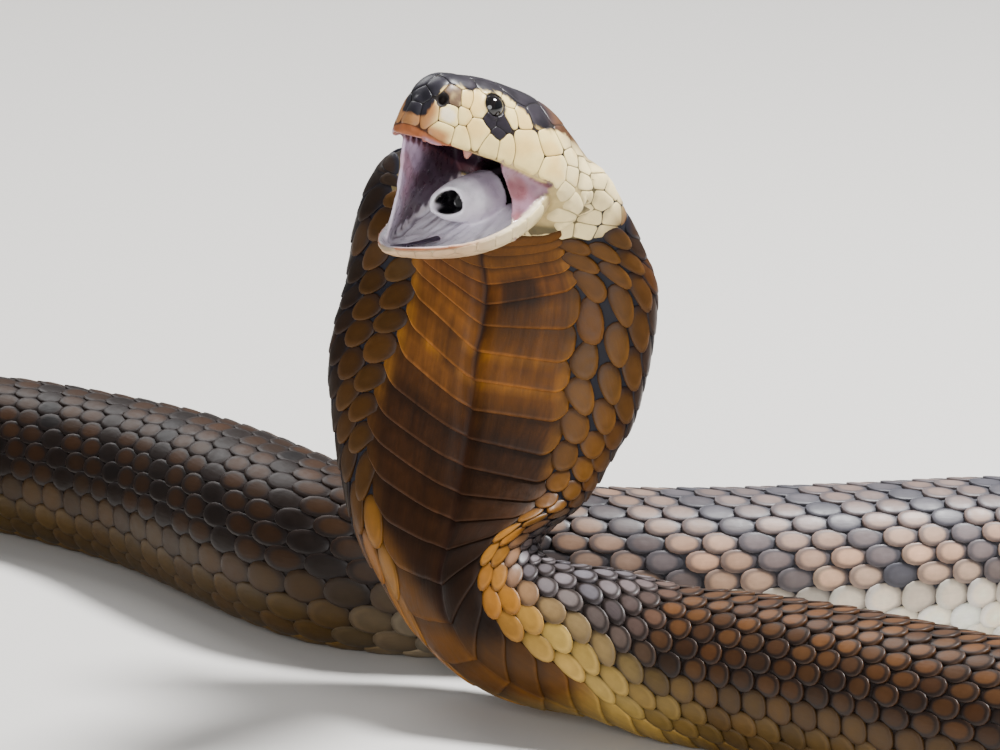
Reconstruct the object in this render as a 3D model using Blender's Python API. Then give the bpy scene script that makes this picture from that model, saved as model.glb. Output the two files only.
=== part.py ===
# A rearing cobra, life size: spread hood, gaping mouth, and the rest of the body laid in two bends on the
# floor. Metres, +Z up. The origin is on the floor, in the belly's flat just after the raised body lies
# down.
# "s" is the distance along the spine from the back of the head to the tail tip, and "phi" goes round a
# section: 0 in the middle of the belly, a quarter turn at the snake's left side, half a turn in the back.
import bpy
import bmesh
import numpy as np
from math import cos, pi, radians, sin
from mathutils import Matrix, Vector

MM = 0.001
GAP = 0.3 * MM  # between nodes that touch
FLANK_ROUNDNESS = 0.9  # 1 would be an ellipse, and less is boxier
BACK_ROUNDNESS = 0.92
HOOD_FLATNESS = 0.22  # taken off the last one where the hood is fully spread

# The spine in millimetres, back of the head first, from a working zero under the hood. On the floor the
# height follows the girth.
ORIGIN_SPOT = (59.4, -50.4, 0)  # where the part's origin lies, in the same millimetres
RAISED_ROUTE = [
    (10, -2.5, 151.5), (3, 4, 148), (-2.5, 8.5, 141.5), (-3, 10.5, 132), (-1.5, 10.5, 122),
    (-2.5, 8.5, 111), (-6, 4.5, 96), (-9.5, 0, 80), (-11.5, -5, 64), (-11.5, -11, 49), (-8, -18, 36.5),
    (2, -25, 28),
]
FLOOR_ROUTE = [
    (15, -31), (34, -39), (66, -54), (103, -80), (141, -110), (187, -131), (234, -126), (268, -95),
    (279, -50), (264, -3), (228, 34), (188, 50), (150, 52), (110, 45), (70, 39), (29, 37), (-1, 39),
    (-26, 43), (-49, 54), (-67, 75), (-84, 101), (-104, 130), (-130, 157), (-160, 180), (-199, 192),
    (-240, 182), (-270, 151), (-279, 110), (-266, 70), (-238, 40), (-217, 5), (-222, -32), (-246, -58),
    (-278, -66),
]
CENTRE_HEIGHT = 0.92  # height of the spine over the floor, as a share of the half-width
LIES_DOWN = (170 * MM, 205 * MM)  # the stretch of the spine where the body comes to lie flat

# Section sizes along the spine, in millimetres: (s, half-width, depth to the back, depth to the belly)
GIRTH = [
    (0, 20.5, 18.5, 13), (4, 23.2, 16.5, 12.5), (8, 28, 14.5, 12), (13, 34.2, 12.5, 11),
    (25, 43.5, 9.5, 9.5), (42, 48.5, 8.5, 8.5), (57, 48.5, 8.5, 8.5), (71, 48, 9, 8.5),
    (86, 44, 10, 9.5), (101, 39.5, 12, 11), (114, 34.5, 15, 14), (130, 27, 18.5, 17.5),
    (150, 22.5, 21, 20.5), (190, 22.5, 22.5, 22), (260, 24, 24, 24), (420, 25, 25, 25),
    (760, 25.5, 25.5, 25.5), (930, 27, 27, 27), (1010, 25, 25, 25), (1090, 23, 23, 23),
    (1200, 19.5, 19.5, 19.5), (1320, 14.5, 14.5, 14.5), (1420, 9.5, 9.5, 9.5), (1500, 6, 6, 6),
    (1580, 2.5, 2.5, 2.5),
]
# Which way the belly looks: (s, direction)
BELLY_LOOKS = [
    (0, (-0.354, -0.354, -0.866)), (12, (-0.36, -0.72, -0.6)), (28, (-0.34, -0.92, -0.2)),
    (60, (-0.34, -0.94, 0.0)), (110, (-0.38, -0.90, -0.15)), (140, (-0.45, -0.72, -0.50)),
    (165, (-0.35, -0.45, -0.85)), (190, (-0.10, -0.15, -1.0)), (210, (0, 0, -1)),
]
# How much of a hood the section is: (s, share), and how far its left and right edges bend backwards:
# (s, millimetres, millimetres). The right one is drawn up behind the turned head.
HOOD_SHARE = [(0, 0.0), (10, 0.7), (26, 1.0), (95, 1.0), (125, 0.4), (150, 0.0)]
HOOD_SWEEP = [(0, 16, 16), (8, 9, 20), (16, 7, 18), (30, 6, 10), (60, 5, 5), (100, 5, 5), (150, 2, 2)]
HOOD_BACK_RIDGE = 7.0 * MM  # the spine and its muscle stand out along the hood's back
HOOD_RIDGE_WIDTH = 13.0 * MM
HOOD_BELLY_FOLD = 1.4 * MM  # the crease down the middle of the hood's front
HOOD_FOLD_WIDTH = 2.5 * MM

# Broad belly plates, raised on the hood's front
HOOD_END = 118 * MM
PLATE_PITCH = 9.8 * MM
PLATE_STEP = 0.9 * MM
PLATE_FRONT = 0.12  # a plate starts here, as a share of the pitch, and rises to its step at the next
PLATE_BACK = 0.95
PLATE_EDGE = radians(32)
PLATE_EDGE_DROP = radians(2.5)
PLATE_RISE = 0.30  # how far a plate's ends climb towards the head, per unit of width
PLATE_RAMP = 14 * MM  # the plates are square to the spine at the node's ends, and tilt over this length
THROAT_RINGS = [s * MM for s in (0.3, 3, 6, 9, 12.5, 16)]  # plain skin between the head and the first plate
HEAD_TURN = 42 * MM  # the sections swing from the head's direction to the spine's over this length
TURN_EVENED = 30 * MM  # and the spine's own direction is evened out over this length both ways

# Large scales beside the plates, down the hood's edges
SIDE_ROWS = 3
SCALE_TURN = radians(15.6)  # from one row of scales to the next, round the section
SCALE_LENGTH = 9.4 * MM
SCALE_FILL = 0.82  # share of its row that a scale takes
SCALE_TOP = 0.92  # its top face is this much smaller than its foot
SCALE_RISE = 1.1 * MM  # at its free end
SCALE_FRONT_RISE = 0.22 * MM
SCALE_ROOT = 1.3 * MM  # how deep it is sunk in the node
SCALE_CORNERS = 8
FIRST_SCALE = 22 * MM

# The lengths that the body is parted in after the hood, each up to a point of the floor route. They are
# short in the bends.
LENGTHS = [
    ("neck_base", [0]), ("fore_body", [4]), ("right_bend", [6, 8, 10]), ("mid_body", [12, 15]),
    ("left_body", [17, 19]), ("hind_body", [21, 23]), ("left_bend", [25, 27, 29]), ("tail", [31, 33]),
]
FLOOR_FROM = 160 * MM  # the spine is on the floor route from here on
RING_POINTS = 26
STATION = 14 * MM

# Head, in its own frame: t runs back from the snout tip, heights are from the lip line
HEAD_LENGTH = 59 * MM
HEAD_YAW = radians(45)
HEAD_PITCH = radians(30)
HEAD_RING_POINTS = 36
HEAD_STATIONS = [0, 0.8, 2.4, 5, 8.5, 12.5, 16, 19.5, 23.5, 28, 33, 37.5, 41, 44, 48, 53]
SNOUT_BOXED = (6.0, 40.0)  # t up to which the sections are boxy, and from which they are round
CHEEK_ROUNDNESS = 0.95
CROWN_ROUNDNESS = 0.9
SNOUT_BOXINESS = 0.18
PALATE_WALL = 0.55  # share of the palate's width in which it rises to its full height, from both lips
# (t, half-width, crown height, height of the lip, height of the palate over the lip). Behind the mouth's
# corner the last is negative, and tells how far the throat hangs below.
HEAD_SECTIONS = [
    (0.0, 2.8, 9.0, -1.2, 0.0), (0.8, 5.8, 12.4, -1.8, 0.2), (2.4, 8.0, 15.0, -2.2, 0.9),
    (5.0, 9.6, 17.5, -2.3, 2.2), (9.0, 11.0, 19.1, -2.1, 3.9), (14.0, 12.4, 20.4, -1.6, 5.0),
    (19.0, 13.9, 21.8, -1.0, 5.6), (25.0, 15.6, 23.0, -0.4, 5.8), (32.0, 17.6, 23.8, 0.0, 5.0),
    (38.0, 19.2, 24.4, 0.0, 3.2), (43.0, 20.4, 24.2, 0.0, -1.0), (48.0, 20.9, 23.2, 0.0, -6.0),
    (53.0, 20.9, 21.2, 0.0, -10.0),
]
EYE_RADIUS = 3.8 * MM
EYE_AT = (20.7, 9.8, 15.3)  # t, sideways, up
NOSTRIL_AT = (4.6, 8.6, 11.6)
NOSTRIL_RADIUS = 1.2 * MM
FANG_SHEATH_ROOT = (17.0, 8.8, 5.0)
FANG_SHEATH_TIP = (18.0, 8.8, -2.5)
FANG_SHEATH_RADII = (2.3 * MM, 0.8 * MM)

# Lower jaw, in a frame turned down by the gape about its hinge: r runs forward from the hinge
JAW_HINGE = 45.0  # t of the hinge
JAW_GAPE = radians(44)
JAW_RING_POINTS = 28
JAW_STATIONS = [49.4, 47.8, 45, 41.5, 37, 32, 27, 21, 15, 9, 3, -2, -6]
JAW_ROUNDNESS = 0.85
CHIN_ROUNDNESS = 0.8
GUM_WALL = 0.5  # share of the jaw's width in which its floor sinks to its full depth, from both lips
# (r, half-width, depth of the chin below the lip, depth of the mouth's floor, sag of the lip line)
JAW_SECTIONS = [
    (-6.0, 15.0, 9.0, 1.0, 0.0), (0.0, 19.0, 11.0, 1.5, 0.6), (6.0, 20.5, 11.0, 2.4, 1.6),
    (13.0, 21.5, 10.4, 3.4, 2.6), (20.0, 21.3, 9.4, 4.0, 3.3), (27.0, 19.8, 8.2, 4.0, 3.6),
    (33.0, 17.6, 7.0, 3.6, 3.3), (39.0, 14.0, 5.8, 3.0, 2.4), (44.0, 10.0, 4.8, 2.2, 1.3),
    (47.5, 6.2, 3.8, 1.4, 0.5), (49.4, 3.2, 2.8, 0.3, 0.0),
]
WINDPIPE_FROM = (8.0, 0.0, -2.5)  # r, sideways, up
WINDPIPE_TO = (23.5, 0.5, 2.2)
WINDPIPE_RADII = (6.4 * MM, 5.0 * MM)
WINDPIPE_HOLE = 2.9 * MM
WINDPIPE_SOLID = 0.6  # share of its length behind the hole
THROAT_CLEARANCE = 1.2 * GAP  # between the jaw and the faceted throat under it
THROAT_STATIONS = [42.6, 44, 46, 48, 50.5, 53]  # t behind the mouth's corner
THROAT_CUT_END = 22 * MM
MEMBRANE_THICKNESS = 1.2 * MM
MEMBRANE_INSET = 1.6  # it hangs this far inside the lips
MEMBRANE_SUNK = 1.5  # and is rooted this far in the jaw
MEMBRANE_BACK = (43.0, 1.0)  # t on the upper lip and r on the lower one where it starts
# Where its front edge is on each lip, and how far back that edge is drawn: (side, t, r, millimetres)
MEMBRANE_FRONTS = [(1, 26.0, 20.0, 4.5), (-1, 20.0, 38.0, 1.0)]
TONGUE_RADIUS = 0.8 * MM
TONGUE_OVER_FLOOR = 0.5
TONGUE_TIP = 46.0
TONGUE_FORK = 40.0
TONGUE_ROOT = 31.0
TINE_SPREAD = 1.6
TINE_LAP = 1.2  # how far a tine reaches back into the tongue
TINE_RADII = (0.6 * MM, 0.25 * MM)

# Colour and roughness of each material
FINISHES = {
    "body_scales": ((0.16, 0.085, 0.035), 0.35),
    "hood_plates": ((0.26, 0.13, 0.035), 0.35),
    "head_shields": ((0.55, 0.38, 0.16), 0.35),
    "jaw_shields": ((0.62, 0.45, 0.28), 0.35),
    "eye_cornea": ((0.01, 0.01, 0.012), 0.08),
    "tongue_flesh": ((0.05, 0.03, 0.05), 0.4),
}


def smooth(x, table, column=1):
    """A smooth curve through the table's points, which never swings past them."""
    xs = np.array([row[0] for row in table], float)
    ys = np.array([row[column] for row in table], float)
    steps = np.diff(ys) / np.diff(xs)
    slopes = np.zeros(len(xs))
    both = steps[:-1] * steps[1:] > 0
    slopes[1:-1][both] = 2 * steps[:-1][both] * steps[1:][both] / (steps[:-1] + steps[1:])[both]
    slopes[0], slopes[-1] = steps[0], steps[-1]
    x = np.clip(x, xs[0], xs[-1])
    k = np.clip(np.searchsorted(xs, x, side="right") - 1, 0, len(steps) - 1)
    width = xs[k + 1] - xs[k]
    u = (x - xs[k]) / width
    return (
        ys[k] * (1 + 2 * u) * (1 - u) ** 2
        + ys[k + 1] * u * u * (3 - 2 * u)
        + width * (slopes[k] * u * (1 - u) ** 2 - slopes[k + 1] * u * u * (1 - u))
    )


def ease(x):
    """0 up to 0, 1 from 1 on, and smooth between."""
    x = np.clip(x, 0, 1)
    return x * x * (3 - 2 * x)


def unit(vectors):
    return vectors / np.linalg.norm(vectors, axis=-1, keepdims=True)


def power(x, exponent):
    return np.sign(x) * np.abs(x) ** exponent


def curve_through(points, step):
    """Points every step along a smooth curve through the given points."""
    chord = np.concatenate([[0], np.cumsum(np.linalg.norm(np.diff(points, axis=0), axis=1))])
    gap = np.diff(chord)[:, None]
    rate = np.diff(points, axis=0) / gap
    inner = (rate[:-1] * gap[1:] + rate[1:] * gap[:-1]) / (gap[1:] + gap[:-1])
    slope = np.concatenate([rate[:1], inner, rate[-1:]])
    x = np.arange(0, chord[-1], step)
    k = np.searchsorted(chord, x, side="right") - 1
    width = gap[k]
    u = ((x - chord[k]) / width[:, 0])[:, None]
    return (
        points[k] * (1 + 2 * u) * (1 - u) ** 2
        + points[k + 1] * u * u * (3 - 2 * u)
        + width * (slope[k] * u * (1 - u) ** 2 - slope[k + 1] * u * u * (1 - u))
    )


def head_axes(pitch):
    """Forward, left and up of the head, or of the jaw with its own pitch."""
    forward = np.array([-cos(HEAD_YAW) * cos(pitch), -sin(HEAD_YAW) * cos(pitch), sin(pitch)])
    left = np.array([sin(HEAD_YAW), -cos(HEAD_YAW), 0.0])
    return forward, left, np.cross(forward, left)


def evened(directions, step):
    """Directions averaged over their neighbours, with the head's own before the first."""
    reach = round(TURN_EVENED / step)
    bell = np.exp(-0.5 * (np.arange(-reach, reach + 1) * 3 / reach) ** 2)
    before = np.repeat(-head_axes(HEAD_PITCH)[0][None], reach, axis=0)
    after = np.repeat(directions[-1:], reach, axis=0)
    padded = np.concatenate([before, directions, after])
    return unit(np.column_stack([np.convolve(padded[:, i], bell, "valid") for i in range(3)]))


def make_spine():
    """Distances, places and directions along the spine: s, centre, towards the tail, left, back."""
    floor = [(x, y, 25) for x, y in FLOOR_ROUTE]
    points = (np.array(RAISED_ROUTE + floor, float) - ORIGIN_SPOT) * MM
    step = 1 * MM
    lead = 12
    points = np.vstack([points[0] + lead * step * head_axes(HEAD_PITCH)[0], points])
    dense = curve_through(points, step)
    window = np.hanning(15)
    reach = len(window) // 2
    smoothed = [np.convolve(dense[:, i], window / window.sum(), "valid") for i in range(3)]
    dense = np.column_stack(smoothed)[lead - reach:]
    dense += np.exp(-np.arange(len(dense)) / 6.0)[:, None] * (points[1] - dense[0])
    along = np.concatenate([[0], np.cumsum(np.linalg.norm(np.diff(dense, axis=0), axis=1))])
    s = np.arange(0, along[-1], 2 * MM)
    centre = np.column_stack([np.interp(s, along, dense[:, i]) for i in range(3)])
    lying = ease((s - LIES_DOWN[0]) / (LIES_DOWN[1] - LIES_DOWN[0]))
    rest_height = CENTRE_HEIGHT * smooth(s / MM, GIRTH) * MM
    centre[:, 2] += lying * (rest_height - centre[:, 2])
    tailwards = evened(unit(np.gradient(centre, axis=0)), s[1] - s[0])
    swung = ease(s / HEAD_TURN)[:, None]
    tailwards = unit(swung * tailwards - (1 - swung) * head_axes(HEAD_PITCH)[0])
    tailwards[:, 2] *= 1 - lying
    tailwards = unit(tailwards)
    places = [row[0] * MM for row in BELLY_LOOKS]
    belly = np.column_stack([np.interp(s, places, [row[1][i] for row in BELLY_LOOKS]) for i in range(3)])
    back = unit((belly * tailwards).sum(1)[:, None] * tailwards - belly)
    return s, centre, tailwards, np.cross(tailwards, back), back


SPINE_S, SPINE_CENTRE, SPINE_TAILWARDS, SPINE_LEFT, SPINE_BACK = make_spine()


def along_spine(values, s):
    return np.stack([np.interp(s, SPINE_S, values[:, i]) for i in range(3)], axis=-1)


def section(s, phi):
    """Sideways and backwards place of a point of the body's section."""
    half_width, to_back, to_belly = (smooth(s / MM, GIRTH, i) * MM for i in (1, 2, 3))
    hood = smooth(s / MM, HOOD_SHARE)
    lean = np.cos(phi)
    side = half_width * power(np.sin(phi), FLANK_ROUNDNESS)
    out = -np.where(lean > 0, to_belly, to_back) * power(lean, BACK_ROUNDNESS - HOOD_FLATNESS * hood)
    back_side, belly_side = ease(-lean * 3), ease(lean * 3)  # both fade out at the hood's edges
    ridge = HOOD_BACK_RIDGE * np.exp(-((side / HOOD_RIDGE_WIDTH) ** 2)) * back_side
    fold = HOOD_BELLY_FOLD * np.exp(-((side / HOOD_FOLD_WIDTH) ** 2)) * belly_side
    sweep = np.where(side > 0, smooth(s / MM, HOOD_SWEEP, 1), smooth(s / MM, HOOD_SWEEP, 2)) * MM
    sweep = sweep * (side / half_width) ** 2
    return side, out + hood * (ridge + fold + sweep)


def surface(s, phi, lift=0.0):
    """Points of the body's surface, lifted off it by lift, and never under the floor."""
    s, phi, lift = np.broadcast_arrays(*(np.asarray(value, float) for value in (s, phi, lift)))
    side, out = section(s, phi)
    side_on, out_on = section(s, phi + 0.01)
    length = np.hypot(side_on - side, out_on - out)
    lifted_side = side + lift * (out_on - out) / length
    lifted_out = out - lift * (side_on - side) / length
    centre, left, back = (along_spine(values, s) for values in (SPINE_CENTRE, SPINE_LEFT, SPINE_BACK))
    points = centre + lifted_side[..., None] * left + lifted_out[..., None] * back
    points[..., 2] = np.maximum(points[..., 2], 0)
    return points


def make_material(name):
    colour, roughness = FINISHES[name]
    material = bpy.data.materials.get(name) or bpy.data.materials.new(name)
    material.use_nodes = True
    shader = material.node_tree.nodes["Principled BSDF"]
    shader.inputs["Base Color"].default_value = (*colour, 1)
    shader.inputs["Roughness"].default_value = roughness
    return material


def add_object(name, mesh, collection, finish=None):
    item = bpy.data.objects.new(name, mesh)
    collection.objects.link(item)
    if finish:
        mesh.materials.clear()
        mesh.materials.append(make_material(finish))
    mesh.shade_smooth()
    return item


def loft(name, rings):
    """A closed mesh through rings of points, each ring going round the same way, with flat ends."""
    rows, columns = rings.shape[:2]
    mesh_data = bmesh.new()
    verts = [[mesh_data.verts.new(point) for point in ring] for ring in rings]
    for i in range(rows - 1):
        for j in range(columns):
            k = (j + 1) % columns
            mesh_data.faces.new((verts[i][j], verts[i + 1][j], verts[i + 1][k], verts[i][k]))
    for ring, end, way in ((verts[0], rings[0], 1), (verts[-1], rings[-1], -1)):
        middle = mesh_data.verts.new(end.mean(0))
        for j in range(columns):
            mesh_data.faces.new((middle, ring[j], ring[(j + 1) % columns])[::way])
    bmesh.ops.triangulate(mesh_data, faces=mesh_data.faces[:])
    mesh = bpy.data.meshes.new(name)
    mesh_data.to_mesh(mesh)
    mesh_data.free()
    return mesh


def face_outwards(mesh):
    mesh_data = bmesh.new()
    mesh_data.from_mesh(mesh)
    bmesh.ops.recalc_face_normals(mesh_data, faces=mesh_data.faces[:])
    mesh_data.to_mesh(mesh)
    mesh_data.free()
    return mesh


def keep_largest(mesh):
    """Drops every closed surface but the one with the most faces."""
    mesh_data = bmesh.new()
    mesh_data.from_mesh(mesh)
    bmesh.ops.triangulate(mesh_data, faces=mesh_data.faces[:])
    left_over = set(mesh_data.faces)
    islands = []
    while left_over:
        island = {left_over.pop()}
        front = list(island)
        while front:
            near = {face for edge in front.pop().edges for face in edge.link_faces} & left_over
            left_over -= near
            island |= near
            front.extend(near)
        islands.append(island)
    islands.sort(key=len)
    scraps = [face for island in islands[:-1] for face in island]
    bmesh.ops.delete(mesh_data, geom=scraps, context="FACES")
    mesh_data.to_mesh(mesh)
    mesh_data.free()


def combine(target, pieces, operation, solver="EXACT"):
    """Joins the pieces to the target, or cuts them from it, and removes them."""
    group = bpy.data.collections.new("pieces of " + target.name)
    bpy.context.scene.collection.children.link(group)
    for piece in pieces:
        group.objects.link(piece)
    modifier = target.modifiers.new("combine", "BOOLEAN")
    modifier.operand_type = "COLLECTION"
    modifier.collection = group
    modifier.operation = operation
    modifier.solver = solver
    view = bpy.context.evaluated_depsgraph_get()
    mesh = bpy.data.meshes.new_from_object(target.evaluated_get(view))
    target.modifiers.clear()
    target.data = mesh
    keep_largest(mesh)
    for piece in pieces:
        bpy.data.objects.remove(piece)
    bpy.data.collections.remove(group)


def head_place(t, side, up):
    """World place of a point of the head, from millimetres in its own frame."""
    forward, left, above = head_axes(HEAD_PITCH)
    start = (np.array(RAISED_ROUTE[0], float) - ORIGIN_SPOT) * MM
    along = np.asarray(HEAD_LENGTH - np.asarray(t) * MM)
    return start + along[..., None] * forward + (np.asarray(side) * MM)[..., None] * left \
        + (np.asarray(up) * MM)[..., None] * above


def jaw_place(r, side, up):
    """World place of a point of the lower jaw, from millimetres in its own frame."""
    forward, left, above = head_axes(HEAD_PITCH - JAW_GAPE)
    start = head_place(JAW_HINGE, 0.0, 0.0)
    return start + (np.asarray(r) * MM)[..., None] * forward + (np.asarray(side) * MM)[..., None] * left \
        + (np.asarray(up) * MM)[..., None] * above


def head_ring(t, phi):
    """Sideways and upward places round the head at t, in millimetres."""
    half_width, crown, lip, floor = (smooth(t, HEAD_SECTIONS, i) for i in (1, 2, 3, 4))
    snout = 1 - ease((t - SNOUT_BOXED[0]) / (SNOUT_BOXED[1] - SNOUT_BOXED[0]))
    lean = np.cos(phi)
    side = half_width * power(np.sin(phi), CHEEK_ROUNDNESS - SNOUT_BOXINESS * snout * (lean < 0))
    roof = (crown - lip) * power(-lean, CROWN_ROUNDNESS - SNOUT_BOXINESS * snout)
    palate, throat = floor * ease(lean / PALATE_WALL), floor * power(np.maximum(lean, 0), CROWN_ROUNDNESS)
    vault = np.where(floor > 0, palate, throat)
    return side, lip + np.where(lean < 0, roof, vault)


def jaw_ring(r, phi):
    """Sideways and upward places round the lower jaw at r, in millimetres."""
    half_width, chin, floor, sag = (smooth(r, JAW_SECTIONS, i) for i in (1, 2, 3, 4))
    lean = np.cos(phi)
    side = half_width * power(np.sin(phi), JAW_ROUNDNESS)
    below, above = -chin * power(lean, CHIN_ROUNDNESS), -floor * ease(-lean / GUM_WALL)
    return side, np.where(lean > 0, below, above) - sag


def build_head(parts, cutters):
    phi = np.arange(HEAD_RING_POINTS) / HEAD_RING_POINTS * 2 * pi
    rings = [head_place(np.full_like(phi, t), *head_ring(t, phi)) for t in HEAD_STATIONS]
    rings.append(surface(0.0, phi))
    head = add_object("head", loft("head", np.array(rings)), parts, "head_shields")
    sheaths = [add_fang_sheath(side, cutters) for side in (1, -1)]
    combine(head, sheaths, "UNION")
    holes = [add_ball("socket", EYE_AT, side, EYE_RADIUS + GAP, cutters) for side in (1, -1)]
    holes += [add_ball("nostril", NOSTRIL_AT, side, NOSTRIL_RADIUS, cutters) for side in (1, -1)]
    combine(head, holes, "DIFFERENCE")


def add_ball(name, place, side, radius, collection):
    """A ball on the head at t, sideways, up; side is 1 for the snake's left and -1 for its right."""
    mesh_data = bmesh.new()
    bmesh.ops.create_uvsphere(mesh_data, u_segments=16, v_segments=10, radius=radius)
    centre = head_place(place[0], place[1] * side, place[2])
    bmesh.ops.translate(mesh_data, verts=mesh_data.verts, vec=centre)
    mesh = bpy.data.meshes.new(name)
    mesh_data.to_mesh(mesh)
    mesh_data.free()
    return add_object(name, mesh, collection)


def add_cone(name, start, end, radii, segments, collection):
    """A blunt cone between two places."""
    start, end = Vector(start), Vector(end)
    mesh_data = bmesh.new()
    bmesh.ops.create_cone(
        mesh_data, cap_ends=True, segments=segments,
        radius1=radii[0], radius2=radii[1], depth=(end - start).length,
    )
    turn = (end - start).to_track_quat("Z", "Y").to_matrix().to_4x4()
    place = Matrix.Translation((start + end) / 2) @ turn
    bmesh.ops.transform(mesh_data, verts=mesh_data.verts, matrix=place)
    bmesh.ops.triangulate(mesh_data, faces=mesh_data.faces[:])
    mesh = bpy.data.meshes.new(name)
    mesh_data.to_mesh(mesh)
    mesh_data.free()
    return add_object(name, mesh, collection)


def add_fang_sheath(side, collection):
    """The pad of gum that hides the short fixed fang."""
    root, tip = (head_place(t, y * side, z) for t, y, z in (FANG_SHEATH_ROOT, FANG_SHEATH_TIP))
    return add_cone("fang sheath", root, tip, FANG_SHEATH_RADII, 8, collection)


def build_eyes(parts):
    for name, side in (("eye_left", 1), ("eye_right", -1)):
        eye = add_ball(name, EYE_AT, side, EYE_RADIUS, parts)
        eye.data.materials.append(make_material("eye_cornea"))


def add_membrane(side, front_t, front_r, drawn, collection):
    """The skin stretched between the lips from the mouth's corner forwards."""
    outline = []
    for t in np.linspace(MEMBRANE_BACK[0], front_t, 5):
        sideways = (smooth(t, HEAD_SECTIONS) - MEMBRANE_INSET) * side
        outline.append(head_place(t, sideways, smooth(t, HEAD_SECTIONS, 3) - GAP / MM))
    lower = []
    for r in np.linspace(front_r, MEMBRANE_BACK[1], 5):
        sideways = (smooth(r, JAW_SECTIONS) - MEMBRANE_INSET) * side
        floor = smooth(r, JAW_SECTIONS, 3) + smooth(r, JAW_SECTIONS, 4)
        lower.append(jaw_place(r, sideways, -floor - MEMBRANE_SUNK))
    backwards = -head_axes(HEAD_PITCH - JAW_GAPE / 2)[0]
    outline.append((outline[-1] + lower[0]) / 2 + drawn * MM * backwards)
    outline += lower
    offset = head_axes(HEAD_PITCH)[1] * side * MEMBRANE_THICKNESS / 2
    rings = np.array([[point - offset for point in outline], [point + offset for point in outline]])
    return add_object("membrane", face_outwards(loft("membrane", rings)), collection)


def add_throat_cutter(collection):
    """The back of the head and the top of the neck, larger by the gap, to cut the jaw clear of them."""
    phi = np.arange(JAW_RING_POINTS) / JAW_RING_POINTS * 2 * pi
    grown = THROAT_CLEARANCE / MM
    rings = []
    for t in THROAT_STATIONS:
        side, up = head_ring(t, phi)
        rings.append(head_place(np.full_like(phi, t), side + grown * np.sin(phi), up - grown * np.cos(phi)))
    rings += [surface(s, phi, THROAT_CLEARANCE) for s in [0.0] + THROAT_RINGS[1:] + [THROAT_CUT_END]]
    return add_object("throat cutter", loft("throat cutter", np.array(rings)), collection)


def build_jaw(parts, cutters):
    phi = np.arange(JAW_RING_POINTS) / JAW_RING_POINTS * 2 * pi
    rings = np.array([jaw_place(np.full_like(phi, r), *jaw_ring(r, phi)) for r in JAW_STATIONS])
    jaw = add_object("lower_jaw", loft("lower_jaw", rings), parts, "jaw_shields")
    start, end = jaw_place(*WINDPIPE_FROM), jaw_place(*WINDPIPE_TO)
    pipe = add_cone("windpipe", start, end, WINDPIPE_RADII, 14, cutters)
    membranes = [add_membrane(*front, cutters) for front in MEMBRANE_FRONTS]
    combine(jaw, [pipe] + membranes, "UNION", "MANIFOLD")
    hole_end = start + (end - start) * WINDPIPE_SOLID
    bore = add_cone("glottis", hole_end, end * 2 - start, (WINDPIPE_HOLE,) * 2, 12, cutters)
    combine(jaw, [bore], "DIFFERENCE")
    combine(jaw, [add_throat_cutter(cutters)], "DIFFERENCE")


def build_tongue(parts, cutters):
    """The forked tongue, lying just over the floor of the mouth."""
    def place(r, sideways):
        return jaw_place(r, sideways, float(jaw_ring(r, pi)[1]) + TONGUE_RADIUS / MM + TONGUE_OVER_FLOOR)
    root, fork = place(TONGUE_ROOT, 0.0), place(TONGUE_FORK, 0.0)
    tongue = add_cone("tongue", root, fork, (TONGUE_RADIUS,) * 2, 8, parts)
    tongue.data.materials.append(make_material("tongue_flesh"))
    tines = []
    for side in (1, -1):
        start, tip = place(TONGUE_FORK - TINE_LAP, 0.0), place(TONGUE_TIP, TINE_SPREAD * side)
        tines.append(add_cone("tine", start, tip, TINE_RADII, 6, cutters))
    combine(tongue, tines, "UNION")


def build_plated(name, plain, end, parts):
    """A length of the raised body: some plain rings, then belly plates that overlap like roof tiles."""
    drop = PLATE_EDGE + PLATE_EDGE_DROP
    round_points = np.concatenate([np.linspace(0, PLATE_EDGE, 4), np.linspace(drop, pi, 12)[:-1]])
    phi = np.concatenate([round_points, [pi], -round_points[:0:-1]])
    on_plate = (np.abs(phi) < PLATE_EDGE + 0.01).astype(float)
    start = plain[-1]
    count = round((end - start) / PLATE_PITCH)
    pitch = (end - start) / count
    stations = [(s, 0.0) for s in plain[:-1]]
    for k in range(count):
        front = start + (k + PLATE_FRONT * (k > 0)) * pitch
        stations += [(front, 0.0), (start + (k + PLATE_BACK) * pitch, PLATE_STEP)]
    stations.append((end, 0.0))
    rings = [surface(climbing(s, phi, start, end), phi, lift * on_plate) for s, lift in stations]
    return add_object(name, loft(name, np.array(rings)), parts, "hood_plates")


def climbing(s, phi, start, end):
    """s at phi of a row across the body, whose ends climb towards the head on both sides of the belly."""
    turn = np.abs(phi)
    climb = np.where(turn < PLATE_EDGE, np.sin(turn) / sin(PLATE_EDGE), (pi - turn) / (pi - PLATE_EDGE))
    ramp = ease((s - start) / PLATE_RAMP) * ease((end - s) / PLATE_RAMP)
    return s - PLATE_RISE * section(s, PLATE_EDGE)[0] * climb * ramp


def add_scale(s, phi, start, end, collection):
    """One oval scale, its front sunk in the skin and its free end raised."""
    around = np.arange(SCALE_CORNERS) / SCALE_CORNERS * 2 * pi
    half_turn = SCALE_TURN / 2 * SCALE_FILL
    foot, top = (1, -SCALE_ROOT, -SCALE_ROOT), (SCALE_TOP, SCALE_FRONT_RISE, SCALE_RISE)
    rings = []
    for size, front_lift, back_lift in (foot, top):
        along = SCALE_LENGTH / 2 * size * np.cos(around)
        turn = phi + half_turn * size * np.sin(around)
        lift = front_lift + (back_lift - front_lift) * (0.5 + along / SCALE_LENGTH)
        rings.append(surface(climbing(s, turn, start, end) + along, turn, lift))
    return add_object("scale", face_outwards(loft("scale", np.array(rings))), collection)


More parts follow.
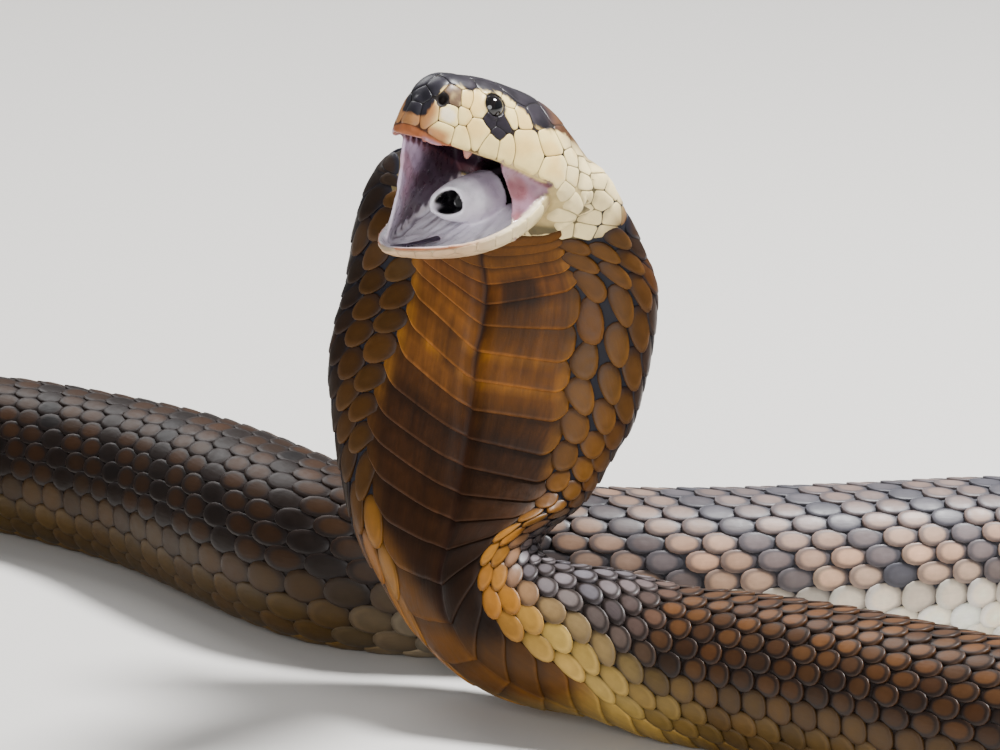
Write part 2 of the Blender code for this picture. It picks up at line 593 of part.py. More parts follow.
def add_side_scales(hood, cutters):
    """Rows of scales down both edges of the hood, each row half a scale on from its neighbour."""
    scales = []
    for row in range(SIDE_ROWS):
        turn = PLATE_EDGE + (row + 0.5) * SCALE_TURN
        first = FIRST_SCALE + (row % 2) * PLATE_PITCH / 2
        for s in np.arange(first, HOOD_END - SCALE_LENGTH * 0.6, PLATE_PITCH):
            scales += [add_scale(s, turn * side, THROAT_RINGS[-1], HOOD_END, cutters) for side in (1, -1)]
    combine(hood, scales, "UNION", "MANIFOLD")


def build_length(name, start, end, parts):
    """A plain length of the body that lies on the floor."""
    count = max(3, round((end - start) / STATION))
    s = np.linspace(start, end, count + 1)
    phi = (np.arange(RING_POINTS) + 0.5) / RING_POINTS * 2 * pi
    return add_object(name, loft(name, surface(s[:, None], phi[None, :])), parts, "body_scales")


def spine_distance(index):
    """s at a point of the floor route."""
    if index == len(FLOOR_ROUTE) - 1:
        return SPINE_S[-1]
    x, y = (np.array(FLOOR_ROUTE[index], float) - ORIGIN_SPOT[:2]) * MM
    lying = SPINE_S > FLOOR_FROM
    away = np.hypot(SPINE_CENTRE[lying, 0] - x, SPINE_CENTRE[lying, 1] - y)
    return SPINE_S[lying][np.argmin(away)]


def build_body(parts, cutters):
    add_side_scales(build_plated("hood", THROAT_RINGS, HOOD_END, parts), cutters)
    start = HOOD_END
    for name, ends in LENGTHS:
        for number, index in enumerate(ends, 1):
            end = spine_distance(index)
            if name == "neck_base":
                build_plated(name, [start + GAP], end, parts)
            else:
                build_length(f"{name}_{number}" if len(ends) > 1 else name, start + GAP, end, parts)
            start = end


def build_cobra():
    for item in list(bpy.data.objects):
        bpy.data.objects.remove(item)
    parts = bpy.data.collections.new("cobra")
    cutters = bpy.data.collections.new("cutters")
    bpy.context.scene.collection.children.link(parts)
    bpy.context.scene.collection.children.link(cutters)
    build_body(parts, cutters)
    build_head(parts, cutters)
    build_eyes(parts)
    build_jaw(parts, cutters)
    build_tongue(parts, cutters)


build_cobra()
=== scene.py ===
from math import cos, pi, radians, sin

import bmesh
import bpy
import numpy as np
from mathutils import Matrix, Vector
from mathutils.bvhtree import BVHTree
from mathutils.kdtree import KDTree


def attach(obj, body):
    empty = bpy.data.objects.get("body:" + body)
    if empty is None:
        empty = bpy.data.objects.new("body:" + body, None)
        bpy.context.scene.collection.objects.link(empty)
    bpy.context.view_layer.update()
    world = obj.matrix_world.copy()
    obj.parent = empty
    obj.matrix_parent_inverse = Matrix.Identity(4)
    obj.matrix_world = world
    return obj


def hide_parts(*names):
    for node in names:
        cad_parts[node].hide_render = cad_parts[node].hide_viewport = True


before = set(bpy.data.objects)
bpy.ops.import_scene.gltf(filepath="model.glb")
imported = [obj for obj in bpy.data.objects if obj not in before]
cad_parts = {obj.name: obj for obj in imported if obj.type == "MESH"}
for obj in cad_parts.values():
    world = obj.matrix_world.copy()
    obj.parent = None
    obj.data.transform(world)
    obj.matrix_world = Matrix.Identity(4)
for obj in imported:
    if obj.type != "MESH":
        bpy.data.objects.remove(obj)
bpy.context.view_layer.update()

# A rearing cobra: the skin, its scales, plates and shields, the mouth, the eyes and the tongue.
# s runs along the spine from the back of the head, in metres. phi goes round a section: 0 at the
# middle of the belly, a quarter turn at the snake's left, half a turn at the middle of the back.
# t runs back from the snout tip and r forwards from the jaw's hinge, both in millimetres.
mm = 0.001
draws = np.random.default_rng(11)

spineShape = {
    "originSpot": (59.4, -50.4, 0),
    "raised": [
        (10, -2.5, 151.5), (3, 4, 148), (-2.5, 8.5, 141.5), (-3, 10.5, 132), (-1.5, 10.5, 122),
        (-2.5, 8.5, 111), (-6, 4.5, 96), (-9.5, 0, 80), (-11.5, -5, 64), (-11.5, -11, 49), (-8, -18, 36.5),
        (2, -25, 28),
    ],
    "floor": [
        (15, -31), (34, -39), (66, -54), (103, -80), (141, -110), (187, -131), (234, -126), (268, -95),
        (279, -50), (264, -3), (228, 34), (188, 50), (150, 52), (110, 45), (70, 39), (29, 37), (-1, 39),
        (-26, 43), (-49, 54), (-67, 75), (-84, 101), (-104, 130), (-130, 157), (-160, 180), (-199, 192),
        (-240, 182), (-270, 151), (-279, 110), (-266, 70), (-238, 40), (-217, 5), (-222, -32), (-246, -58),
        (-278, -66),
    ],
    "centreHeight": 0.92, "liesDown": (170 * mm, 205 * mm), "headTurn": 42 * mm, "turnEvened": 30 * mm,
    "bellyLooks": [
        (0, (-0.354, -0.354, -0.866)), (12, (-0.36, -0.72, -0.6)), (28, (-0.34, -0.92, -0.2)),
        (60, (-0.34, -0.94, 0.0)), (110, (-0.38, -0.90, -0.15)), (140, (-0.45, -0.72, -0.50)),
        (165, (-0.35, -0.45, -0.85)), (190, (-0.10, -0.15, -1.0)), (210, (0, 0, -1)),
    ],
}
# (s, half-width, depth to the back, depth to the belly), in millimetres
girth = [
    (0, 20.5, 18.5, 13), (4, 23.2, 16.5, 12.5), (8, 28, 14.5, 12), (13, 34.2, 12.5, 11),
    (25, 43.5, 9.5, 9.5), (42, 48.5, 8.5, 8.5), (57, 48.5, 8.5, 8.5), (71, 48, 9, 8.5),
    (86, 44, 10, 9.5), (101, 39.5, 12, 11), (114, 34.5, 15, 14), (130, 27, 18.5, 17.5),
    (150, 22.5, 21, 20.5), (190, 22.5, 22.5, 22), (260, 24, 24, 24), (420, 25, 25, 25),
    (760, 25.5, 25.5, 25.5), (930, 27, 27, 27), (1010, 25, 25, 25), (1090, 23, 23, 23),
    (1200, 19.5, 19.5, 19.5), (1320, 14.5, 14.5, 14.5), (1390, 10.6, 10.6, 10.6), (1420, 8.2, 8.2, 8.2),
    (1438, 5.6, 5.6, 5.6), (1447, 3.2, 3.2, 3.2), (1452, 1.1, 1.1, 1.1),
]
hoodShape = {
    "share": [(0, 0.0), (10, 0.7), (26, 1.0), (95, 1.0), (125, 0.4), (150, 0.0)],
    "sweep": [(0, 16, 16), (8, 9, 20), (16, 7, 18), (30, 6, 10), (60, 5, 5), (100, 5, 5), (150, 2, 2)],
    "flankRoundness": 0.9, "backRoundness": 0.92, "flatness": 0.22,
    "ridge": 7.0 * mm, "ridgeWidth": 13.0 * mm, "fold": 1.4 * mm, "foldWidth": 2.5 * mm,
}
headShape = {
    "length": 59 * mm, "yaw": radians(45), "pitch": radians(30), "snoutBoxed": (6.0, 40.0),
    "cheek": 0.95, "crown": 0.9, "boxiness": 0.18, "palateWall": 0.55,
    # (t, half-width, crown, lip, palate over the lip)
    "sections": [
        (0.0, 2.8, 9.0, -1.2, 0.0), (0.8, 5.8, 12.4, -1.8, 0.2), (2.4, 8.0, 15.0, -2.2, 0.9),
        (5.0, 9.6, 17.5, -2.3, 2.2), (9.0, 11.0, 19.1, -2.1, 3.9), (14.0, 12.4, 20.4, -1.6, 5.0),
        (19.0, 13.9, 21.8, -1.0, 5.6), (25.0, 15.6, 23.0, -0.4, 5.8), (32.0, 17.6, 23.8, 0.0, 5.0),
        (38.0, 19.2, 24.4, 0.0, 3.2), (43.0, 20.4, 24.2, 0.0, -1.0), (48.0, 20.9, 23.2, 0.0, -6.0),
        (53.0, 20.9, 21.2, 0.0, -10.0),
    ],
}
jawShape = {
    "hinge": 45.0, "gape": radians(44), "cheek": 0.85, "chin": 0.8, "gumWall": 0.5,
    # (r, half-width, depth of the chin, depth of the mouth's floor, sag of the lip line)
    "sections": [
        (-6.0, 15.0, 9.0, 1.0, 0.0), (0.0, 19.0, 11.0, 1.5, 0.6), (6.0, 20.5, 11.0, 2.4, 1.6),
        (13.0, 21.5, 10.4, 3.4, 2.6), (20.0, 21.3, 9.4, 4.0, 3.3), (27.0, 19.8, 8.2, 4.0, 3.6),
        (33.0, 17.6, 7.0, 3.6, 3.3), (39.0, 14.0, 5.8, 3.0, 2.4), (44.0, 10.0, 4.8, 2.2, 1.3),
        (47.5, 6.2, 3.8, 1.4, 0.5), (49.4, 3.2, 2.8, 0.3, 0.0),
    ],
}


def smooth(x, table, column=1):  # a smooth curve through the table's points
    xs = np.array([row[0] for row in table], float)
    ys = np.array([row[column] for row in table], float)
    steps = np.diff(ys) / np.diff(xs)
    slopes = np.zeros(len(xs))
    both = steps[:-1] * steps[1:] > 0
    slopes[1:-1][both] = 2 * steps[:-1][both] * steps[1:][both] / (steps[:-1] + steps[1:])[both]
    slopes[0], slopes[-1] = steps[0], steps[-1]
    x = np.clip(x, xs[0], xs[-1])
    k = np.clip(np.searchsorted(xs, x, side="right") - 1, 0, len(steps) - 1)
    width = xs[k + 1] - xs[k]
    u = (x - xs[k]) / width
    return (
        ys[k] * (1 + 2 * u) * (1 - u) ** 2 + ys[k + 1] * u * u * (3 - 2 * u)
        + width * (slopes[k] * u * (1 - u) ** 2 - slopes[k + 1] * u * u * (1 - u))
    )


def ease(x):
    x = np.clip(x, 0, 1)
    return x * x * (3 - 2 * x)


def ramp(x, first, last):  # 0 up to the first value, 1 from the last value on, also downwards
    return ease((x - first) / (last - first))


def unit(vectors):
    return vectors / np.maximum(np.linalg.norm(vectors, axis=-1, keepdims=True), 1e-12)


def turns(count):  # evenly spread angles, once round
    return np.arange(count) / count * 2 * pi


def power(x, exponent):
    return np.sign(x) * np.abs(x) ** exponent


def curveThrough(points, step):
    chord = np.concatenate([[0], np.cumsum(np.linalg.norm(np.diff(points, axis=0), axis=1))])
    gap = np.diff(chord)[:, None]
    rate = np.diff(points, axis=0) / gap
    inner = (rate[:-1] * gap[1:] + rate[1:] * gap[:-1]) / (gap[1:] + gap[:-1])
    slope = np.concatenate([rate[:1], inner, rate[-1:]])
    x = np.arange(0, chord[-1], step)
    k = np.searchsorted(chord, x, side="right") - 1
    width = gap[k]
    u = ((x - chord[k]) / width[:, 0])[:, None]
    return (
        points[k] * (1 + 2 * u) * (1 - u) ** 2 + points[k + 1] * u * u * (3 - 2 * u)
        + width * (slope[k] * u * (1 - u) ** 2 - slope[k + 1] * u * u * (1 - u))
    )


def headAxes(pitch):  # forward, left and up
    yaw = headShape["yaw"]
    forward = np.array([-cos(yaw) * cos(pitch), -sin(yaw) * cos(pitch), sin(pitch)])
    left = np.array([sin(yaw), -cos(yaw), 0.0])
    return forward, left, np.cross(forward, left)


headForward, headLeft, headUp = headAxes(headShape["pitch"])
jawForward, _, jawUp = headAxes(headShape["pitch"] - jawShape["gape"])  # its left is the head's


def evened(directions, step):
    reach = round(spineShape["turnEvened"] / step)
    bell = np.exp(-0.5 * (np.arange(-reach, reach + 1) * 3 / reach) ** 2)
    before = np.repeat(-headForward[None], reach, axis=0)
    padded = np.concatenate([before, directions, np.repeat(directions[-1:], reach, axis=0)])
    return unit(np.column_stack([np.convolve(padded[:, i], bell, "valid") for i in range(3)]))


def makeSpine():  # s, centre, tailwards, left and back directions
    floor = [(x, y, 25) for x, y in spineShape["floor"]]
    points = (np.array(spineShape["raised"] + floor, float) - spineShape["originSpot"]) * mm
    step, lead = 1 * mm, 12
    points = np.vstack([points[0] + lead * step * headForward, points])
    dense = curveThrough(points, step)
    window = np.hanning(15)
    smoothed = [np.convolve(dense[:, i], window / window.sum(), "valid") for i in range(3)]
    dense = np.column_stack(smoothed)[lead - len(window) // 2:]
    dense += np.exp(-np.arange(len(dense)) / 6.0)[:, None] * (points[1] - dense[0])
    along = np.concatenate([[0], np.cumsum(np.linalg.norm(np.diff(dense, axis=0), axis=1))])
    s = np.arange(0, along[-1], 2 * mm)
    centre = np.column_stack([np.interp(s, along, dense[:, i]) for i in range(3)])
    first, last = spineShape["liesDown"]
    lying = ease((s - first) / (last - first))
    restHeight = spineShape["centreHeight"] * smooth(s / mm, girth) * mm
    centre[:, 2] += lying * (restHeight - centre[:, 2])
    tailwards = evened(unit(np.gradient(centre, axis=0)), s[1] - s[0])
    swung = ease(s / spineShape["headTurn"])[:, None]
    tailwards = unit(swung * tailwards - (1 - swung) * headForward)
    tailwards[:, 2] *= 1 - lying
    tailwards = unit(tailwards)
    places = [row[0] * mm for row in spineShape["bellyLooks"]]
    looks = [np.interp(s, places, [row[1][i] for row in spineShape["bellyLooks"]]) for i in range(3)]
    belly = np.column_stack(looks)
    back = unit((belly * tailwards).sum(1)[:, None] * tailwards - belly)
    return s, centre, tailwards, np.cross(tailwards, back), back


spineS, spineCentre, spineTailwards, spineLeft, spineBack = makeSpine()


def alongSpine(values, s):
    return np.stack([np.interp(s, spineS, values[:, i]) for i in range(3)], axis=-1)


def twist(s):
    return np.radians(smooth(s / mm, rowShape["twist"]))


def section(s, phi):
    halfWidth, toBack, toBelly = (smooth(s / mm, girth, i) * mm for i in (1, 2, 3))
    hood = smooth(s / mm, hoodShape["share"])
    lean = np.cos(phi)
    side = halfWidth * power(np.sin(phi), hoodShape["flankRoundness"])
    exponent = hoodShape["backRoundness"] - hoodShape["flatness"] * hood
    out = -np.where(lean > 0, toBelly, toBack) * power(lean, exponent)
    backSide, bellySide = ease(-lean * 3), ease(lean * 3)
    ridge = hoodShape["ridge"] * np.exp(-((side / hoodShape["ridgeWidth"]) ** 2)) * backSide
    crease = side - halfWidth * np.sin(twist(s))
    fold = hoodShape["fold"] * np.exp(-((crease / hoodShape["foldWidth"]) ** 2)) * bellySide
    sweep = np.where(side > 0, smooth(s / mm, hoodShape["sweep"], 1), smooth(s / mm, hoodShape["sweep"], 2))
    return side, out + hood * (ridge + fold + sweep * mm * (side / halfWidth) ** 2)


coatTop = 0.3 * mm  # how far the scales stand over the solids' surface


def surface(s, phi, lift=0.0):
    s, phi, lift = np.broadcast_arrays(*(np.asarray(value, float) for value in (s, phi, lift)))
    side, out = section(s, phi)
    sideOn, outOn = section(s, phi + 0.01)
    length = np.hypot(sideOn - side, outOn - out)
    liftedSide = side + lift * (outOn - out) / length
    liftedOut = out - lift * (sideOn - side) / length
    centre, left, back = (alongSpine(values, s) for values in (spineCentre, spineLeft, spineBack))
    points = centre + liftedSide[..., None] * left + liftedOut[..., None] * back
    points[..., 2] = np.maximum(points[..., 2], np.maximum(coatTop - lift, 0))
    return points


def headPlace(t, side, up):
    start = (np.array(spineShape["raised"][0], float) - spineShape["originSpot"]) * mm
    along = np.asarray(headShape["length"] - np.asarray(t) * mm)[..., None]
    side, up = ((np.asarray(value) * mm)[..., None] for value in (side, up))
    return start + along * headForward + side * headLeft + up * headUp


hinge = headPlace(jawShape["hinge"], 0.0, 0.0)


def jawPlace(r, side, up):
    along, side, up = ((np.asarray(value) * mm)[..., None] for value in (r, side, up))
    return hinge + along * jawForward + side * headLeft + up * jawUp


def inHead(points):  # t, side, up of world points
    rel = (points - headPlace(0.0, 0.0, 0.0)) / mm
    return -rel @ headForward, rel @ headLeft, rel @ headUp


def inJaw(points):  # r, side, up of world points
    rel = (points - hinge) / mm
    return rel @ jawForward, rel @ headLeft, rel @ jawUp


def headSize(t, column=1):  # half-width, or another column of the head's sections
    return smooth(t, headShape["sections"], column)


def jawSize(r, column=1):
    return smooth(r, jawShape["sections"], column)


def lipLine(t):  # height of the upper lip
    return headSize(t, 3)


def lipSag(r):  # how far the lower lip sags
    return jawSize(r, 4)


def headRing(t, phi, lift=0.0, gum=0.0):  # gum is the thickness of the lips
    def ring(phi):
        halfWidth, crown, lip, floor = (smooth(t, headShape["sections"], i) for i in (1, 2, 3, 4))
        first, last = headShape["snoutBoxed"]
        snout = 1 - ease((t - first) / (last - first))
        lean = np.cos(phi)
        side = halfWidth * power(np.sin(phi), headShape["cheek"] - headShape["boxiness"] * snout * (lean < 0))
        roof = (crown - lip) * power(-lean, headShape["crown"] - headShape["boxiness"] * snout)
        palate = floor * ease(lean / headShape["palateWall"])
        throat = floor * power(np.maximum(lean, 0), headShape["crown"])
        side = side * (1 - gum * ease(lean / 0.12) * ease(floor / 1.5) / (halfWidth + 1))
        hang = gum * 0.8 * ramp(t, 9.5, 3.5) * ease((lean + 0.12) / 0.2)
        return side, lip - hang + np.where(lean < 0, roof, np.where(floor > 0, palate, throat))
    return lifted(ring, phi, lift)


def jawRing(r, phi, lift=0.0, gum=0.0):
    def ring(phi):
        halfWidth, chin, floor, sag = (smooth(r, jawShape["sections"], i) for i in (1, 2, 3, 4))
        lean = np.cos(phi)
        side = halfWidth * power(np.sin(phi), jawShape["cheek"])
        side = side * (1 - gum * ease(-lean / 0.12) / (halfWidth + 1))
        below, above = -chin * power(lean, jawShape["chin"]), -floor * ease(-lean / jawShape["gumWall"])
        return side, np.where(lean > 0, below, above) - sag
    return lifted(ring, phi, lift)


def lifted(ring, phi, lift):  # a ring's points, moved out of it by lift, in millimetres
    side, up = ring(phi)
    sideOn, upOn = ring(phi + 0.01)
    length = np.maximum(np.hypot(sideOn - side, upOn - up), 1e-9)
    return side + lift * (upOn - up) / length, up - lift * (sideOn - side) / length


# Rows of scales and plates. A row across the body is a whole number along "rowCount".
rowShape = {
    "pitch": [
        (0, 6.6), (48, 6.7), (60, 8.6), (110, 8.8), (160, 9.1), (300, 9.4), (420, 10.2), (700, 10.5),
        (960, 10.5), (1090, 9.4), (1200, 8.0), (1320, 6.6), (1400, 5.3), (1430, 4.0), (1452, 2.8),
    ],
    "leftEdge": [(0, 34), (60, 32), (75, 34), (85, 36), (97, 41), (110, 43), (150, 42), (200, 39.5)],
    "rightEdge": [
        (0, 24), (50, 25), (64, 26), (74, 29.5), (82, 34), (90, 38), (98, 43), (110, 46), (150, 44),
        (200, 39.5),
    ],
    "bodyWeights": [1.55, 1.35, 1.15, 1, 1, 1, 1, 1, 1],
    "leftRise": [
        (0, 0.3), (45, 0.3), (52, 0.12), (60, 0.06), (76, 0.06), (84, -0.05), (93, -0.16), (120, -0.1),
        (150, 0.25),
    ],
    "leftSideRise": [(0, 0.3), (36, 0.3), (62, 0.16), (84, -0.01), (105, -0.1), (125, -0.06), (150, 0.25)],
    "rightRise": [
        (0, 0.8), (58, 0.78), (67, 0.64), (76, 0.57), (84, 0.5), (93, 0.5), (102, 0.54), (111, 0.6),
        (150, 0.6),
    ],
    # how far the belly's middle is turned to the snake's left, in degrees
    "twist": [
        (0, 0), (60, 0), (84, 4), (102, 6), (115, 9), (141, 19), (165, 20), (200, 15), (240, 7), (290, 0),
    ],
    "wideEnd": 60 * mm, "widePitch": 8.7 * mm,  # up to here the scales stand farther apart than the plates
}
rowS = np.arange(0, spineS[-1], 1 * mm)
rowCount = np.concatenate([[0], np.cumsum(1 * mm / (smooth(rowS[:-1] / mm, rowShape["pitch"]) * mm))])
plateEnd = 1330 * mm  # the plates are paired behind the vent


def rowPlace(count):
    return np.interp(count, rowCount, rowS)


wideEnd, widePitch = rowShape["wideEnd"], rowShape["widePitch"]
scaleCount = np.where(
    rowS < wideEnd, np.interp(wideEnd, rowS, rowCount) - (wideEnd - rowS) / widePitch, rowCount)


def rowPitch(s):
    return smooth(s / mm, rowShape["pitch"]) * mm


def plateEdge(s, side):
    name = "leftEdge" if side > 0 else "rightEdge"
    return np.radians(smooth(s / mm, rowShape[name]))


def rowWeights(s):
    hood = np.maximum(smooth(s / mm, hoodShape["share"]), ramp(s / mm, 290, 180))[..., None]
    return hood + (1 - hood) * np.array(rowShape["bodyWeights"])


def rowTurn(s, row, side):  # centre of a row of scales, and its half-width, in radians
    weights = rowWeights(s)
    edge = plateEdge(s, side)
    step = (pi - edge) / (weights.sum(-1) + 0.5)
    if row == len(rowShape["bodyWeights"]):
        return np.full_like(edge, pi), step / 2
    before = weights[..., :row].sum(-1)
    return edge + step * (before + weights[..., row] / 2), step * weights[..., row] / 2


def climbing(s, phi):  # rows climb towards the head from the middle of the belly to the plates' ends
    left = phi > 0
    turn = np.abs((phi + pi) % (2 * pi) - pi)
    edge = np.where(left, plateEdge(s, 1), plateEdge(s, -1))
    rise = np.where(left, smooth(s / mm, rowShape["leftRise"]), smooth(s / mm, rowShape["rightRise"]))
    even = np.where(left, smooth(s / mm, rowShape["leftSideRise"]), rise)  # steadier beside the plates
    rise = rise + (even - rise) * ease((turn - edge) / radians(12))
    climb = np.where(turn < edge, np.sin(np.minimum(turn, edge)) / np.sin(edge), (pi - turn) / (pi - edge))
    share = ramp(s / mm, 12, 32) * ramp(s / mm, 190, 140)
    return s - rise * smooth(s / mm, girth) * mm * np.sin(edge) * climb * share


def coatPlace(s, phi, lift=0.0):  # a place of the coat, with phi from the belly's middle
    return surface(climbing(s, phi), phi + twist(s), lift)


def coatPerRadian(s, phi):  # length of the coat for each radian
    return np.linalg.norm(coatPlace(s, phi + 0.02) - coatPlace(s, phi - 0.02), axis=-1) / 0.04


def bakePlace(s, phi):  # a place on an unwrap of the body, in three strips
    length = spineS[-1] / 3
    strip = np.minimum(np.floor(s / length), 2)
    turn = (phi / (2 * pi) + 0.5) % 1
    return np.stack([0.02 + 0.96 * (s / length - strip), (strip + 0.04 + 0.9 * turn) / 3], axis=-1)


def mix(a, b, share):  # of two colours, which may be names
    a, b = (np.array(colours[value]) if isinstance(value, str) else np.asarray(value) for value in (a, b))
    share = np.asarray(share, float)[..., None]
    return a * (1 - share) + b * share


def waves(points, size, seed, count=7):  # a smooth random field between about -1 and 1
    source = np.random.default_rng(seed)
    total = np.zeros(points.shape[:-1])
    for _ in range(count):
        way = source.normal(0, 1, 3)
        way *= source.uniform(0.6, 1.5) * 2 * pi / size / np.linalg.norm(way)
        total += np.sin(points @ way + source.uniform(0, 2 * pi))
    return total / count ** 0.5 / 1.4


def addMesh(name, points, quads, tris, tint=None, lay=None, uv=None):
    mesh = bpy.data.meshes.new(name)
    quads, tris = np.asarray(quads, np.int32).reshape(-1, 4), np.asarray(tris, np.int32).reshape(-1, 3)
    mesh.vertices.add(len(points))
    mesh.vertices.foreach_set("co", np.asarray(points, np.float32).ravel())
    corners = np.concatenate([quads.ravel(), tris.ravel()])
    starts = np.concatenate([np.arange(len(quads)) * 4, len(quads) * 4 + np.arange(len(tris)) * 3])
    mesh.loops.add(len(corners))
    mesh.loops.foreach_set("vertex_index", corners)
    mesh.polygons.add(len(starts))
    mesh.polygons.foreach_set("loop_start", starts.astype(np.int32))
    mesh.update(calc_edges=True)
    if uv is not None:
        mesh.uv_layers.new(name="OFBake").data.foreach_set("uv", np.asarray(uv, np.float32)[corners].ravel())
    setPoints(mesh, tint, lay)
    mesh.shade_smooth()
    item = bpy.data.objects.new(name, mesh)
    bpy.context.scene.collection.objects.link(item)
    return item


def setPoints(mesh, tint, lay):
    if tint is not None:
        rgba = np.column_stack([np.clip(tint, 0, 1), np.ones(len(tint))]).astype(np.float32)
        layer = mesh.color_attributes.new(name="tint", type="FLOAT_COLOR", domain="POINT")
        layer.data.foreach_set("color", rgba.ravel())
    if lay is not None:
        layer = mesh.attributes.new(name="lay", type="FLOAT_VECTOR", domain="POINT")
        layer.data.foreach_set("vector", np.asarray(lay, np.float32).ravel())


def loftFaces(rows, columns, first=0):  # quads through rings of points that each close on themselves
    i, j = np.meshgrid(np.arange(rows - 1), np.arange(columns), indexing="ij")
    k = (j + 1) % columns
    quads = np.stack([i * columns + j, (i + 1) * columns + j, (i + 1) * columns + k, i * columns + k], -1)
    return quads.reshape(-1, 4) + first


def loft(rings):  # points, quads and tris of a closed body through rings
    rows, columns = rings.shape[:2]
    points = np.concatenate([rings.reshape(-1, 3), [rings[0].mean(0)], [rings[-1].mean(0)]])
    j = np.arange(columns)
    k = (j + 1) % columns
    last = (rows - 1) * columns
    front = np.stack([np.full(columns, rows * columns), j, k], -1)
    rear = np.stack([np.full(columns, rows * columns + 1), last + k, last + j], -1)
    return points, loftFaces(rows, columns), np.concatenate([front, rear])


print("head skin")
skinShape = {
    "depth": 0.7, "headDepth": 0.3, "lips": 2.0, "voxel": 0.42 * mm,
    "snoutCap": 1.1, "chinCap": 1.2, "neckEnd": 20 * mm,
    "throatPath": [(33, 1.5, 9.5, 4.0), (39, -3.0, 11.0, 6.5), (46, -3.0, 10.5, 7.0), (54, -1.5, 8.5, 6.0)],
    "throatEnd": (8 * mm, 7.0, 4.0),
    "pipeFrom": (8.0, 0.0, -2.5), "pipeTo": (24.0, 0.5, 2.4), "pipeBore": 0.62,
    "pipeProfile": [(0, 7.8), (0.25, 7.4), (0.5, 7.0), (0.72, 6.3), (0.88, 5.4), (0.96, 4.8), (1.0, 4.2)],
    "boreRadius": 3.2, "pipeSlant": (0.7, 0.2),
    # of the snake's left, 1, and right, -1
    "fangRoot": (16.6, 8.6, 4.0), "fangTips": {1: (17.9, 9.2, -2.9), -1: (17.5, 8.8, -1.0)},
    "fangRadii": (3.1, 0.45), "curtains": {1: (26.0, 20.0, 4.5), -1: (9.0, 43.5, 1.0)},
    "eyeAt": (19.3, 9.5, 13.9), "eyeRadius": 3.65,
    "nostrilAt": (2.6, 6.7, 9.6), "nostrilSize": (1.3, 1.3, 1.7),
}
pipeStart, pipeEnd = (jawPlace(*skinShape[name]) for name in ("pipeFrom", "pipeTo"))
pipeAxis, pipeLength = unit(pipeEnd - pipeStart), np.linalg.norm(pipeEnd - pipeStart)


def eyeCentre(end):  # end is 1 at the snake's left, -1 at its right
    a, b, c = skinShape["eyeAt"]
    return headPlace(a, b * end, c)


def fromEye(points, end):  # distance out of the eyeball, in millimetres
    return np.linalg.norm(points - eyeCentre(end), axis=-1) / mm - skinShape["eyeRadius"]


def capRings(ring, axis, depth):  # rings that close an end with a dome
    middle = ring.mean(0)
    slopes = np.radians([20, 40, 60, 78])
    return [middle + (ring - middle) * cos(a) + axis * depth * mm * sin(a) for a in slopes]


def headBody(around=96):
    phi = turns(around)
    depth = skinShape["headDepth"]
    t = np.concatenate([np.arange(0, 6, 0.4), np.arange(6, 53.2, 0.8)])
    outer = -depth * ease((0.05 - np.cos(phi)) / 0.1)
    gum = skinShape["lips"]
    rings = [headPlace(np.full_like(phi, x), *headRing(x, phi, outer if x < 42 else -depth, gum)) for x in t]
    front = capRings(rings[0], headForward, skinShape["snoutCap"])[::-1]
    s = np.arange(0, skinShape["neckEnd"] + mm, 1 * mm)
    neck = [surface(x, phi, -(depth + (skinShape["depth"] - depth) * ease(x / (8 * mm))) * mm) for x in s]
    neck += [surface(x, phi, -1.8 * mm) for x in s[-1:] + 2 * mm]
    return loft(np.array(front + rings + neck))


def jawBody(around=72):
    phi = turns(around)
    r = np.concatenate([np.arange(49.2, 44, -0.5), np.arange(44, -6.1, -1.0)])
    outer = -skinShape["headDepth"] * ease((np.cos(phi) + 0.05) / 0.1)
    rings = [jawPlace(np.full_like(phi, x), *jawRing(x, phi, outer, skinShape["lips"])) for x in r]
    front = capRings(rings[0], jawForward, skinShape["chinCap"])[::-1]
    return loft(np.array(front + rings))


def membraneBody(side, thickness=1.3, rows=11):  # skin between the lips
    frontT, frontR, drawn = skinShape["curtains"][side]
    t = np.linspace(44.0, frontT, rows)
    r = np.linspace(0.0, frontR, rows)
    upper = headPlace(t, (headSize(t) - 1.7) * side, lipLine(t) + 0.8)
    sunk = jawSize(r, 3) + lipSag(r) + 1.5
    lower = jawPlace(r, (jawSize(r) - 1.7) * side, -sunk)
    across = np.linspace(0, 1, 13)
    backwards = -headAxes(headShape["pitch"] - jawShape["gape"] / 2)[0]
    share = np.linspace(0, 1, rows)
    pull = (share ** 3)[:, None] * np.sin(across * pi)[None] * drawn * mm
    inwards = np.sin(across * pi)[None] * 0.6 * mm
    middle = upper[:, None] * (1 - across)[None, :, None] + lower[:, None] * across[None, :, None]
    middle = middle + pull[..., None] * backwards - inwards[..., None] * headLeft * side
    half = thickness / 2 * mm * headLeft
    rings = np.concatenate([middle - half, (middle + half)[:, ::-1]], axis=1)
    return loft(rings)


def tubeBody(path, radii, up, around=24):  # a tube of oval rings; radii are (sideways, upwards)
    path = np.array(path)
    ways = unit(np.gradient(path, axis=0))
    side = unit(np.cross(np.broadcast_to(up, ways.shape), ways))
    top = np.cross(ways, side)
    a = turns(around)
    radii = np.array(radii) * mm
    rings = path[:, None] + side[:, None] * (radii[:, :1] * np.cos(a))[..., None] \
        + top[:, None] * (radii[:, 1:] * np.sin(a))[..., None]
    return loft(rings)


def throatBody():
    rows = skinShape["throatPath"]
    path = [headPlace(t, 0.0, up) for t, up, _, _ in rows]
    s, wide, high = skinShape["throatEnd"]
    path.append(alongSpine(spineCentre, s))
    return tubeBody(path, [(w, h) for _, _, w, h in rows] + [(wide, high)], headUp)


